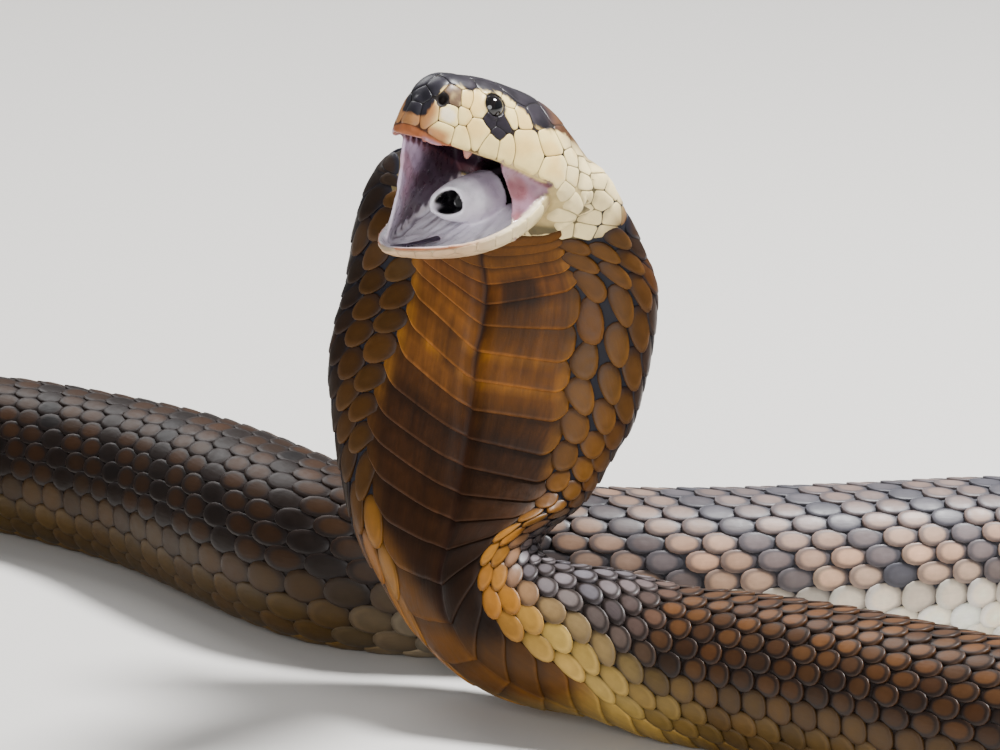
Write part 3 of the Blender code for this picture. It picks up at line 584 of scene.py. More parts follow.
def pipeBody(around=28):  # the windpipe's mouth, with its hole
    rows = list(skinShape["pipeProfile"])
    rimRow = len(rows) - 1
    bore = skinShape["boreRadius"]
    rows += [(1.012, 3.7), (1.0, bore + 0.15), (0.97, bore), (skinShape["pipeBore"], bore * 0.9)]
    path = np.array([pipeStart + (pipeEnd - pipeStart) * share for share, _ in rows])
    side = unit(np.cross(jawUp, pipeAxis))
    top = np.cross(pipeAxis, side)
    a = turns(around)
    pinch = 1 - 0.16 * np.cos(3 * a - pi / 2)
    rings = []
    for k, (share, radius) in enumerate(rows):
        shape = 1 + (pinch - 1) * (k >= rimRow)
        out = radius * mm * (side * (np.cos(a) * shape)[:, None] + top * (np.sin(a) * shape)[:, None])
        lean = skinShape["pipeSlant"][0] * (out @ headLeft) + skinShape["pipeSlant"][1] * (out @ top)
        rings.append(path[k] + out - pipeAxis * (lean * ramp(share, 0.45, 0.95))[:, None])
    return loft(np.array(rings))


def fangBody(side):
    ends = skinShape["fangRoot"], skinShape["fangTips"][side]
    root, tip = (headPlace(t, y * side, z) for t, y, z in ends)
    shares = np.array([0, 0.35, 0.6, 0.8, 0.93, 1.0])
    first, last = skinShape["fangRadii"]
    radii = last + (first - last) * (1 - shares) ** 0.8
    radii[-1] *= 0.5
    path = root + (tip - root) * shares[:, None]
    return tubeBody(path, np.column_stack([radii, radii]), headForward, 16)


def joined(bodies):
    points, quads, tris, first = [], [], [], 0
    for body in bodies:
        points.append(body[0])
        quads.append(body[1] + first)
        tris.append(body[2] + first)
        first += len(body[0])
    return np.concatenate(points), np.concatenate(quads), np.concatenate(tris)


def faceOutwards(item):
    work = bmesh.new()
    work.from_mesh(item.data)
    bmesh.ops.recalc_face_normals(work, faces=work.faces[:])
    work.to_mesh(item.data)
    work.free()


def applied(item):  # the mesh with its modifiers in it
    view = bpy.context.evaluated_depsgraph_get()
    mesh = bpy.data.meshes.new_from_object(item.evaluated_get(view))
    item.modifiers.clear()
    item.data = mesh
    return item


def remeshed(item, voxel):
    modifier = item.modifiers.new("fuse", "REMESH")
    modifier.mode, modifier.voxel_size, modifier.adaptivity = "VOXEL", voxel, 0
    return applied(item)


def cutAway(item, cutter):
    modifier = item.modifiers.new("cut", "BOOLEAN")
    modifier.object, modifier.operation, modifier.solver = cutter, "DIFFERENCE", "MANIFOLD"
    applied(item)
    bpy.data.objects.remove(cutter)
    return item


def meshPoints(mesh):
    points = np.empty(len(mesh.vertices) * 3, np.float32)
    mesh.vertices.foreach_get("co", points)
    return points.reshape(-1, 3).astype(float)


def meshNormals(mesh):
    normals = np.empty(len(mesh.vertices) * 3, np.float32)
    mesh.vertex_normals.foreach_get("vector", normals)
    return normals.reshape(-1, 3).astype(float)


def meshEdges(mesh):
    edges = np.empty(len(mesh.edges) * 2, np.int32)
    mesh.edges.foreach_get("vertices", edges)
    return edges.reshape(-1, 2)


def relaxed(points, edges, rounds, share=0.5):
    degree = np.bincount(edges.ravel(), minlength=len(points))[:, None]
    for _ in range(rounds):
        total = np.zeros_like(points)
        for a, b in ((0, 1), (1, 0)):
            for i in range(points.shape[1]):
                total[:, i] += np.bincount(edges[:, a], points[edges[:, b], i], len(points))
        points = points + share * (total / np.maximum(degree, 1) - points)
    return points


def cleaned(item):  # drops the crumbs that the voxels leave where the form is thin
    mesh = item.data
    edges = meshEdges(mesh)
    part, before = np.arange(len(mesh.vertices)), None
    while before is None or (part != before).any():
        before = part
        part = part.copy()
        np.minimum.at(part, edges[:, 0], before[edges[:, 1]])
        np.minimum.at(part, edges[:, 1], before[edges[:, 0]])
        part = part[part]
    keep = part == np.bincount(part).argmax()
    work = bmesh.new()
    work.from_mesh(mesh)
    bmesh.ops.delete(work, geom=[vert for vert in work.verts if not keep[vert.index]], context="VERTS")
    work.to_mesh(mesh)
    work.free()


def makeHeadSkin():
    bodies = [headBody(), jawBody(), membraneBody(1), membraneBody(-1)]
    item = addMesh("head_form", *joined(bodies))
    faceOutwards(item)
    remeshed(item, skinShape["voxel"])
    cutter = addMesh("throat_form", *throatBody())
    faceOutwards(cutter)
    cutAway(item, cutter)
    points, quads, tris = joined([pipeBody(), fangBody(1), fangBody(-1)])
    extra = addMesh("mouth_form", points, quads, tris)
    faceOutwards(extra)
    work = bmesh.new()
    work.from_mesh(item.data)
    work.from_mesh(extra.data)
    work.to_mesh(item.data)
    work.free()
    bpy.data.objects.remove(extra)
    remeshed(item, skinShape["voxel"])
    cleaned(item)
    mesh = item.data
    points = relaxed(meshPoints(mesh), meshEdges(mesh), 4)
    mesh.vertices.foreach_set("co", points.astype(np.float32).ravel())
    mesh.update()
    return item


headSkin = makeHeadSkin()
print("head skin has", len(headSkin.data.polygons), "faces")


# Markings, and some painted shade and highlights. Every colour of skin and scales comes from these, so that
# both carry the same pattern.
colours = {
    "gap": (0.012, 0.008, 0.007), "blueBlack": (0.012, 0.012, 0.019), "slate": (0.125, 0.125, 0.15),
    "hoodOchre": (0.44, 0.165, 0.014), "hoodBrown": (0.130, 0.042, 0.005), "hoodLine": (0.018, 0.005, 0.002),
    "hoodUmber": (0.034, 0.0115, 0.0025), "hoodGold": (0.25, 0.10, 0.011), "hoodPatch": (0.013, 0.005, 0.002),
    # the plates' amber behind the hood is darkened with painted shadow of the hood
    "shadedAmber": (0.135, 0.049, 0.004), "sideTan": (0.145, 0.058, 0.007), "sideBrown": (0.055, 0.019, 0.004),
    "steel": (0.13, 0.115, 0.125), "chestnut": (0.095, 0.040, 0.014), "darkChestnut": (0.028, 0.015, 0.008),
    "peach": (0.60, 0.38, 0.26), "olive": (0.125, 0.066, 0.012), "cream": (0.92, 0.86, 0.70),
    "straw": (0.37, 0.235, 0.055), "headCream": (0.96, 0.73, 0.29), "neckCream": (0.96, 0.77, 0.39),
    "headSuture": (0.012, 0.006, 0.004), "crown": (0.022, 0.018, 0.024), "snout": (0.018, 0.016, 0.022),
    "nasal": (0.11, 0.065, 0.045), "headUmber": (0.16, 0.07, 0.028), "lipPeach": (0.35, 0.11, 0.038),
    # the nostril colour is painted shade, near black in the holes
    # the pale colour of the lower nasal is partly a painted highlight
    "snoutWhiteAndHighlight": (0.86, 0.80, 0.70), "nostril": (0.008, 0.006, 0.006), "jawCream": (0.84, 0.70, 0.47),
    "napeBrown": (0.20, 0.10, 0.045), "napeDark": (0.075, 0.036, 0.02), "gumPink": (0.50, 0.20, 0.15),
    # the mouth's deepest colour is painted shade: the near black deep in the mouth and in the throat
    "mouthFloor": (0.90, 0.87, 0.95), "mouthPink": (0.28, 0.105, 0.125), "mouthShadow": (0.030, 0.010, 0.020),
    # the windpipe's bore colour is painted shade, near black
    "mouthLilac": (0.48, 0.36, 0.50), "mouthVein": (0.10, 0.05, 0.10), "pipeBore": (0.004, 0.003, 0.005),
}
hoodBands = [(60.0, 0.95), (69.0, 1.0), (51.0, 0.3)]  # ochre bands on the hood's front: s, strength
markings = {  # colours along the spine: (s, name)
    "back": [
        (0, "neckCream"), (10, "neckCream"), (20, "sideTan"), (32, "sideBrown"), (110, "sideBrown"),
        (140, "steel"), (180, "steel"), (205, "chestnut"), (320, "chestnut"), (430, "peach"), (730, "peach"),
        (880, "chestnut"), (1600, "darkChestnut"),
    ],
    "flank": [
        (0, "neckCream"), (17, "neckCream"), (23, "sideTan"), (105, "sideTan"), (130, "hoodGold"),
        (155, "hoodGold"), (172, "straw"), (192, "straw"), (225, "olive"), (320, "olive"), (430, "cream"),
        (730, "cream"), (880, "olive"), (1250, "olive"), (1600, "chestnut"),
    ],
    "plates": [
        (0, "hoodBrown"), (72, "hoodBrown"), (86, "hoodUmber"), (140, "hoodUmber"), (146, "shadedAmber"),
        (166, "shadedAmber"), (185, "straw"), (225, "olive"), (320, "olive"), (430, "cream"), (730, "cream"),
        (880, "olive"), (1300, "olive"), (1600, "darkChestnut"),
    ],
}


def tone(name, share=1.0):
    return np.array(colours[name]) * share


def blend(s, name):
    rows = np.array([colours[row[1]] for row in markings[name]])
    xs = [row[0] for row in markings[name]]
    return np.stack([np.interp(s / mm, xs, rows[:, i]) for i in range(3)], axis=-1)


def rearShare(s):  # 1 on the pale, bluish middle of the body
    return ramp(s / mm, 340, 430) * ramp(s / mm, 870, 750)


def flankShare(s, phi):  # 0 on the back, 1 on the lowest flank
    turn = np.abs((phi + pi) % (2 * pi) - pi)
    edge = np.where(phi > 0, plateEdge(s, 1), plateEdge(s, -1))
    return 1 - np.clip((turn - edge) / radians(58), 0, 1)


def gapColour(s, phi):  # the skin between the scales
    flank = flankShare(s, phi)
    dark = mix("blueBlack", "gap", ramp(s / mm, 100, 160))
    dark = mix(dark, tone("slate", 0.4), rearShare(s))
    low = blend(s, "flank") * (0.16 + 0.5 * rearShare(s))[..., None]
    low = np.where((s > 12 * mm)[..., None] & (s < 118 * mm)[..., None], dark, low)
    return mix(dark, low, ramp(flank, 0.45, 0.85))


def plateColour(s, phi):
    reach = ramp(s / mm, 100, 120) * ramp(s / mm, 200, 170)  # the shaded amber begins lower on the snake's left
    return blend(s - 0.42 * mm * np.clip(np.degrees(phi), -50, 50) * reach, "plates")


print("body skin")


def bodySkin(around=72):
    s = np.concatenate([np.arange(16 * mm, 24 * mm, mm), np.arange(24 * mm, spineS[-1], 2.2 * mm)])
    phi = turns(around)
    sunk = -(skinShape["depth"] + 1.4 * (1 - ramp(s / mm, 16, 21))) * mm
    off = np.degrees(np.abs((phi + pi) % (2 * pi) - pi))  # deeper under the crease
    crease = 1.3 * ramp(off, 9.5, 5.5)[None] * ramp(s / mm, 190, 150)[:, None] * mm
    rings = surface(s[:, None], phi[None] + twist(s)[:, None], sunk[:, None] - crease)
    tint = gapColour(np.repeat(s, around), np.tile((phi + pi) % (2 * pi) - pi, len(s)))
    points, quads, tris = loft(rings)
    return points, quads, tris, np.concatenate([tint, tint[:1], tint[-1:]])


scaleShape = {
    "around": 16, "rings": [(1.0, -0.95), (1.0, -0.08), (0.95, 0.10), (0.77, 0.21), (0.57, 0.26)],
    "tilt": 0.5, "highest": 0.35 * mm, "squareness": 2.2, "taper": (0.06, -0.14), "firstRow": 11 * mm,
    "backFill": 1.21, "backLength": 1.04, "flankFill": 1.26, "flankLength": 1.12,
    # half-length, half-width in millimetres and slant in degrees of the rows beside the hood's plates
    "hoodLeft": [(5.8, 3.9, 38), (5.2, 3.4, 30), (5.0, 3.3, 22), (4.7, 3.4, 10)],
    "hoodRight": [(6.0, 4.2, 62), (5.5, 4.1, 52), (5.1, 3.9, 38), (4.7, 3.9, 20)],
}


def growScales(cells):  # oval scales: s, phi, half-length, half-width, tilt, slant and taper of each
    s, phi, halfLong, halfWide, tilt, slant, taper = (cells[:, i] for i in range(7))
    around = scaleShape["around"]
    angle = turns(around)
    n = scaleShape["squareness"]
    radius = (np.abs(np.cos(angle)) ** n + np.abs(np.sin(angle)) ** n) ** (-1 / n)
    x, y = radius * np.cos(angle), radius * np.sin(angle)
    levels = scaleShape["rings"] + [(0.0, 0.3)]
    points, marks, lay, uv = [], [], [], []
    ids = draws.uniform(0, 1, len(cells))
    perRadian = coatPerRadian(s, phi)[:, None]
    outward = np.sign(phi)
    for share, lift in levels:
        u, v = (x * share, y * share) if share else (np.zeros(1), np.zeros(1))
        long, wide = halfLong[:, None] * u, halfWide[:, None] * v * (1 + taper[:, None] * u)
        along = long * np.cos(slant)[:, None] - wide * (outward * np.sin(slant))[:, None]
        across = long * (outward * np.sin(slant))[:, None] + wide * np.cos(slant)[:, None]
        turn = phi[:, None] + across / perRadian
        height = lift * mm + tilt[:, None] * u * (lift > -0.9)
        height = np.minimum(height, coatTop + scaleShape["highest"])
        points.append(coatPlace(s[:, None] + along, turn, height))
        number = np.broadcast_to(ids[:, None], along.shape)
        lay.append(np.stack([long / mm, wide / mm, number], -1))
        uv.append(bakePlace(s, phi)[:, None] + patchHalf * np.stack([u, v], -1)[None])
        marks.append(np.stack([np.full(along.shape, share), np.broadcast_to(u, along.shape)], -1))
    points, lay, uv, spot = (np.concatenate(part, 1) for part in (points, lay, uv, marks))
    count, each = points.shape[:2]
    quads = loftFaces(len(levels) - 1, around)[:, ::-1]
    j = np.arange(around)
    last = (len(levels) - 2) * around
    tris = np.stack([np.full(around, each - 1), last + j, last + (j + 1) % around], -1)
    floor = np.stack([np.zeros(around - 2, int), j[2:], j[1:-1]], -1)
    tris = np.concatenate([tris, floor])
    offset = (np.arange(count) * each)[:, None, None]
    return points, quads[None] + offset, tris[None] + offset, lay, uv, spot


def darkRun(row, line):  # oblique runs of dark scales
    return (line - row // 2) % 3 == 0


def bodyCells():
    cells, paint = [], []
    source = np.random.default_rng(23)
    last = int(np.interp(spineS[-1] - 5.5 * mm, rowS, rowCount))
    lines = np.arange(-2, last)
    for side in (1, -1):
        for row in range(10 if side > 0 else 9):
            count = lines + 0.5 * (row % 2)
            s = np.interp(count, scaleCount, rowS, left=-1)
            keep = s > scaleShape["firstRow"] + (9 - row) * 0.3 * mm
            s, line = s[keep], lines[keep]
            phi, half = rowTurn(s, row, side)
            pitch = np.maximum(rowPitch(s), widePitch * (s < wideEnd + 2 * mm))
            flank = ramp(row, 3.6, 1)
            shape = {name: scaleShape["back" + name] * (1 - flank) + scaleShape["flank" + name] * flank
                     for name in ("Fill", "Length")}
            wide, long = half * coatPerRadian(s, phi * side) * shape["Fill"], pitch * shape["Length"] / 2
            beside = scaleShape["hoodLeft" if side > 0 else "hoodRight"][min(row, 3)]
            hood = ramp(s / mm, 14, 26) * ramp(s / mm, 132, 106) * ramp(row, 7.5, 4.5)
            room = np.clip(smooth(s / mm, girth) / 46, 0.5, 1)
            long = long * (1 - hood) + beside[0] * mm * hood * room ** 0.35
            wide = wide * (1 - hood) + beside[1] * mm * hood * room
            slant = radians(beside[2]) * hood
            grow = 1 + source.normal(0, 0.03, len(s))
            small = np.clip(smooth(s / mm, girth) / 25, 0.25, 1)
            tilt = scaleShape["tilt"] * mm * (1 - 0.3 * flank) * small
            shift = source.normal(0, 0.2 * mm, len(s))
            broad, narrow = scaleShape["taper"]
            taper = broad + (narrow - broad) * hood
            cells.append(np.column_stack(
                [s + shift, phi * side, long * grow, wide * (2 - grow), tilt, slant, taper]))
            own = source.normal(size=(len(s), 2))
            paint.append(np.column_stack([np.full(len(s), row), line, np.full(len(s), side), own]))
    return np.concatenate(cells), np.concatenate(paint)


def unfolded(cells):  # whether the surface under each scale runs on towards the tail without a fold
    good = np.ones(len(cells), bool)
    for share in (-0.9, 0, 0.9):
        s = cells[:, 0] + share * cells[:, 2]
        along = coatPlace(s + 0.5 * mm, cells[:, 1]) - coatPlace(s - 0.5 * mm, cells[:, 1])
        good &= (along * alongSpine(spineTailwards, s)).sum(1) > 0
    return good | (cells[:, 0] > 40 * mm)


def scaleColours(cells, paint, flank, hood):  # a colour for every scale
    s, phi = cells[:, 0], cells[:, 1]
    along = s / mm
    row, line, side = paint[:, 0], paint[:, 1], paint[:, 2]
    tint = mix(blend(s, "back"), blend(s, "flank"), flank)
    tint = mix(tint, tone("sideBrown", 1.4), (side < 0) * ramp(along, 26, 20))
    outer = ease((row - np.where(side > 0, 1.6, 0.6)) / 1.8)
    patch = waves(np.column_stack([along, phi * 20, 0 * s]), 30, 5)
    run = darkRun(row, line) * (1 - flank) * (0.45 + 0.4 * ramp(along, 300, 380))
    dark = np.where(hood, outer * 0.75 * (patch > -0.5), run)
    dark = np.clip(dark + 0.25 * (patch > 0.7) * (1 - flank), 0, 1)
    rear = rearShare(s)
    dusk = mix(tone("gap", 1.7), tone("slate", 0.75), rear)
    tint = mix(tint, dusk, dark)
    tint = mix(tint, dusk * 0.7, 0.8 * rear * ramp(row, 4, 7))
    tint = mix(tint, tone("sideBrown", 1.1), ramp(row, 3.5, 5) * ramp(along, 30, 22))
    tint *= (1 + 0.10 * paint[:, 3])[:, None] * (1 + 0.03 * paint[:, 4][:, None] * np.array([1, 0, -1]))
    # painted shade: darker on the lower rows from s 165 to 390 mm, on the body from s 770 mm on, and on the
    # hood's scales, most on the snake's right
    fore = ramp(along, 165, 205) * ramp(along, 390, 320) * ramp(row, 6.5, 3.5)
    left = ramp(along, 770, 880)
    shade = (1 - 0.46 * fore) * (1 - left * (0.74 - 0.14 * flank))
    return tint * (shade * np.where(hood, np.where(side < 0, 0.36, 0.64), 1.0))[:, None]


def paintScales(cells, paint, spot):  # a colour for every point of every scale
    s, phi = cells[:, 0], cells[:, 1]
    hood = (s > 22 * mm) & (s < 122 * mm)
    flank, rear = ramp(paint[:, 0], 3.4, 1), rearShare(s)
    lit = scaleColours(cells, paint, flank, hood)[:, None]
    share, u = spot[..., 0], spot[..., 1]
    skin = gapColour(s, phi)[:, None]
    # edge is a lighter tone for the scales' rear parts: partly their pale free edges, partly a painted
    # highlight
    edge = np.minimum(lit * 1.6 + np.array([0.014, 0.009, 0.006]), 0.95)
    margin = np.where(hood, 0.80, 0.59)[:, None] + 0.18 * flank[:, None]  # the dark margin begins here
    rim = ease((share - margin) / 0.12)
    depth = np.where(hood, 0.7, 0.92 - 0.22 * rear) * (1 - (0.5 + 0.25 * rear) * flank)
    lip = ramp(share, 0.6, 0.72) * ramp(u, 0.05, 0.45) * 0.45
    colour = mix(lit * (1.15 - 0.25 * share[..., None]), edge, lip)
    colour = mix(colour, skin, rim * depth[:, None])
    # the rear tip lighter still: the pale free edge with a painted highlight
    tip = ramp(share, 0.93, 0.98) * ramp(u, 0.25, 0.65) * (0.4 - 0.3 * rear)[:, None]
    colour = mix(colour, edge, tip)
    root = ramp(share, 0.5, 0.92) * ease((-u + 0.1) / 0.6) * (0.85 - 0.45 * flank)[:, None]
    return mix(colour, skin, root)


coatLimit = 198000  # triangles in one piece of the coat
patchHalf = 0.0016  # half the size of a scale's patch on the unwrap


def addCoat(name, points, quads, tris, tint, lay, uv, finish):
    count, each = points.shape[:2]
    size = coatLimit // (quads.shape[1] * 2 + tris.shape[1])
    for number, first in enumerate(range(0, count, size), 1):
        chosen = slice(first, first + size)
        base = first * each
        flat, *rest = (part[chosen].reshape(-1, part.shape[-1]) for part in (points, tint, lay, uv))
        title = f"{name}_{number}" if count > size else name
        piece = addMesh(title, flat, quads[chosen] - base, tris[chosen] - base, *rest)
        piece.data.materials.append(finish)
        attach(piece, "root")


plateShape = {
    "overlap": 0.24, "front": -0.34, "rear": 0.3, "bottom": -0.95, "crease": 0.3, "creaseWidth": 0.8,
    "cornerFrom": 0.80, "cornerCut": 0.93, "endSink": 0.12, "rearStep": 0.25, "crowding": 1.15, "past": 0.035,
    "fineRows": [0, 0.08, 0.25, 0.5, 0.75, 0.9, 0.96, 1.0],
}


def growPlates(counts, columns, u, spans):  # broad plates across the belly, as closed bodies
    u, rows = np.array(u)[:, None], len(u)  # u runs along a plate, w across it
    w = np.linspace(-1, 1, columns)
    w = np.sign(w) * (1 - (1 - np.abs(w)) ** plateShape["crowding"])
    corner = plateShape["cornerFrom"]
    ends = np.clip((np.abs(w) - corner) / (1 - corner), 0, 1)
    length = np.sqrt(np.maximum(1 - ends ** 2 * plateShape["cornerCut"], 0.02))
    front, rear = plateShape["front"], plateShape["rear"]
    slope = front + (rear - front) * ease(u / 0.9) * (1 - 0.3 * ends)
    points, lay, uv, spot = [], [], [], []
    for number, count in enumerate(counts):
        middle = rowPlace(count)
        pitch = rowPitch(middle)
        full = pitch * (1 + plateShape["overlap"])
        along = (middle + pitch / 2 - full / 2) + (u - 0.5) * full * length[None]
        for low, high in spans:
            v = low + (high - low) * (w + 1) / 2
            edge = np.where(v > 0, plateEdge(middle, 1), plateEdge(middle, -1)) + plateShape["past"]
            turn = np.broadcast_to(v * edge, along.shape)
            middleSide = smooth(along / mm, girth) * np.sin(twist(along))
            side = section(along, turn + twist(along))[0] / mm - middleSide
            lift = slope - plateShape["crease"] * np.exp(-((side / plateShape["creaseWidth"]) ** 2))
            lift = lift - plateShape["rearStep"] * (u > 0.99) - plateShape["endSink"] * ends ** 3
            top = coatPlace(along, turn, lift * mm)
            below = coatPlace(along, turn, plateShape["bottom"] * mm)
            points.append(np.concatenate([top.reshape(-1, 3), below.reshape(-1, 3)]))
            ownNumber = np.full(along.shape, (number * 0.618) % 1)
            grid = np.stack([side, (along - middle) / mm, ownNumber], -1).reshape(-1, 3)
            lay.append(np.concatenate([grid, grid]))
            laid = bakePlace(middle + (along - middle) * 0.74, turn * 0.98).reshape(-1, 2)
            uv.append(np.concatenate([laid, laid]))
            mark = [along, turn, np.broadcast_to(u, along.shape), np.broadcast_to(w, along.shape)]
            spot.append(np.concatenate([np.stack(mark, -1).reshape(-1, 4)] * 2))
    i, j = np.meshgrid(np.arange(rows - 1), np.arange(columns - 1), indexing="ij")
    a = (i * columns + j).ravel()
    top = np.stack([a, a + 1, a + columns + 1, a + columns], -1)
    lower = top[:, ::-1] + rows * columns
    line = np.concatenate([
        np.arange(columns), columns - 1 + columns * np.arange(1, rows),
        (rows - 1) * columns + np.arange(columns - 2, -1, -1), columns * np.arange(rows - 2, 0, -1),
    ])
    following = np.roll(line, -1)
    wall = np.stack([line, line + rows * columns, following + rows * columns, following], -1)
    quads = np.concatenate([top, lower, wall])[:, ::-1]
    points, lay, uv, spot = (np.array(part) for part in (points, lay, uv, spot))
    offset = (np.arange(len(points)) * points.shape[1])[:, None, None]
    return points, quads[None] + offset, np.zeros((len(points), 0, 3), int), lay, uv, spot


def paintPlates(spot, lay):
    s, phi, u, w = (spot[..., i] for i in range(4))
    along = s / mm
    colour = plateColour(s, phi)
    x = lay[..., 0]
    place = np.stack([x, along, 0 * x], -1)
    mottle = waves(place, 16, 41)
    fine = waves(place * np.array([1, 0.45, 1]), 4.5, 42)
    hood = ramp(along, 20, 40) * ramp(along, 132, 116)
    left = phi > 0
    throat = ramp(along, 46, 28)  # olive and darker under the jaw
    colour = mix(colour, tone("hoodGold", 0.42), throat * 0.6)
    golden = np.zeros(s.shape)
    for middle, strength in hoodBands:
        golden = np.maximum(golden, strength * np.exp(-(((along - middle) / 3.0) ** 4)))
    upper = ease((0.60 - u + 0.16 * mottle) / 0.28)
    reach = np.where(left, ramp(x, 0.8, 2.8), ease((0.50 + 0.35 * mottle - np.abs(w)) / 0.30))
    base = np.exp(-(((along - 64) / 16) ** 4))
    colour = mix(colour, tone("hoodGold", 0.6), base * 0.28 * hood)
    colour = mix(colour, "hoodOchre", golden * upper * reach * 0.92)
    patch = np.exp(-(((along - 44) / 6.5) ** 4)) * ramp(x, 3, 6) * ramp(x, 20, 15)
    colour = mix(colour, "hoodPatch", patch * ease(0.6 + mottle) * 0.85)
    tip = ease((np.abs(w) - 0.78) / 0.18)
    colour = mix(colour, "hoodGold", tip * hood * (0.12 + 0.55 * ramp(along, 96, 86)))
    wide = 0.8 + 0.9 * ramp(along, 60, 100)
    line = np.exp(-((x / wide) ** 2)) * ramp(along, 18, 26) * ramp(along, 152, 132)
    colour = mix(colour, "hoodLine", line * 0.95)
    shadow = np.exp(-((x / 3.0) ** 2)) * 0.35 * hood * ramp(along, 70, 90)
    colour = mix(colour, "hoodUmber", shadow)
    # painted highlight along each plate's rear edge, stronger on the hood
    light = np.minimum(colour * 2.4 + 0.008, 0.9)
    colour = mix(colour, light, ramp(u, 0.91, 0.95) * (0.2 + 0.3 * hood))
    # painted shade: each plate darker at its front, under the rear edge of the plate before
    colour = mix(colour, colour * 0.3, ramp(u, 0.33, 0.21) * 0.8)
    # painted shade: darker on the snake's left from about s 64 mm and in a band about s 52 mm, and all across
    # from s 108 mm, fading out towards s 200 mm
    hoodShade = 0.32 * left * ramp(along, 64, 78) + 0.30 * ramp(along, 108, 128)
    hoodShade = hoodShade + 0.45 * np.exp(-(((along - 52) / 7) ** 4)) * left
    colour = colour * (1 - hoodShade * ramp(along, 200, 160))[..., None]
    fibres = waves(np.stack([x / 0.5, along / 9, 0 * x], -1), 3.0, 43)
    return colour * (1 + 0.16 * mottle + (0.12 * fine + 0.2 * fibres) * hood)[..., None]


print("head shields")
shieldShape = {
    "rays": 40, "step": 0.33 * mm, "reach": 34, "gap": 0.04 * mm, "lipKeep": 0.3, "eyeKeep": 0.25,
    "smallest": 2.2,  # least radius, in steps
    "straightness": (0.84, 1.1),  # of a ray, its straight length as a share of its way
    "neckTilt": 0.24, "scaleStretch": 1.35,
    # rings of a shield: distance in from its edge, share of the way from its middle, height
    "rings": [(0, 1.0, -0.28), (0, 1.0, 0.02), (0.1, 1.0, 0.12), (0.32, 1.0, 0.19), (0.6, 0.85, 0.24),
              (0.6, 0.45, 0.27), (0, 0.0, 0.28)],
    # seeds on one side of the head: (t, degrees round the section, weight)
    "sideSeeds": [
        (0.7, 110, 0.85), (4.9, 131, 1.0), (4.9, 108, 0.95), (5.0, 94.5, 0.9), (9.3, 110, 0.7),
        (9.5, 128, 0.8), (13.6, 124, 1.0), (10.8, 94.5, 0.9), (15.2, 101.5, 1.1), (20.3, 96.5, 0.95),
        (18.3, 114.5, 0.8), (21.8, 115, 0.8), (21.4, 106.5, 0.65), (25.6, 98, 0.95), (32.2, 103, 1.35),
        (24.6, 138, 0.75), (25.0, 125, 0.85), (29.0, 130, 1.0), (35.0, 139, 1.15), (43.2, 99.5, 1.2),
        (39.8, 117, 1.05), (45.8, 130, 1.0), (49.4, 117, 0.85), (50.4, 103.5, 0.85), (49.8, 92, 0.8),
        (2.0, 160, 0.9), (7.4, 161, 1.1), (18.6, 151, 0.95), (31, 158, 1.5), (42.5, 148, 1.0),
    ],
    "middleSeeds": [(18.5, 180, 1.0), (0.0, 178, 0.8)],
    "frontSeeds": [(0.0, 0.0, 3.6, 1.0)],  # the rostral: (t, sideways, up, weight)
    # scales of the neck: t, which runs on over the neck, degrees and weight
    "neckSeeds": [
        (57.0, 121, 1), (58.0, 105, 0.95), (67.5, 95, 1.05), (71, 76, 1.05), (55.5, 84, 0.9),
        (54.7, 60, 0.8), (72.5, 57, 0.9), (64.5, 112, 1.0), (61.5, 88, 0.95), (64, 46, 0.85),
        (59.5, 52, 0.8), (68.0, 59, 0.85), (53.2, 134, 1.0), (60, 138, 1.0), (67, 128, 1.0),
    ],
    "jawSideSeeds": [
        (47.5, 66, 0.8), (44.6, 78, 0.9), (40.0, 78, 1), (34.5, 78, 1), (28.5, 78, 1), (22.5, 78, 1),
        (16.5, 77, 1), (10.5, 76, 1), (41, 27, 1), (31, 24, 1), (36, 52, 0.9), (30, 50, 0.9),
    ],
    "jawMiddleSeeds": [(49.2, 0, 1.0)],
    "darkSeeds": [10, 11, 12], "nasalSeeds": [1],  # side seeds under the eye, and behind the nostril
    # lattices of small scales: from, to and step along, from, to and step in degrees round
    "neckLattice": (47, 78, 7.2, 47, 181, 15.5), "foreLattice": (61, 77, 6.4, 8, 46, 15),
    "throatLattice": (25, 7, -6.2, 9, 66, 14), "spacing": 4.4,
}


headEnd = 59  # t where the head ends and s begins


def neckPlace(t, phi):
    return headPlace(t, *headRing(t, phi)) if t < headEnd else surface((t - headEnd) * mm, phi)


def lattice(name):  # places along and degrees round, every other column half a step on
    first, last, step, low, high, turn = shieldShape[name]
    for along in np.arange(first, last, step):
        for column, degrees in enumerate(np.arange(low, high, turn)):
            yield along + abs(step) / 2 * (column % 2), degrees


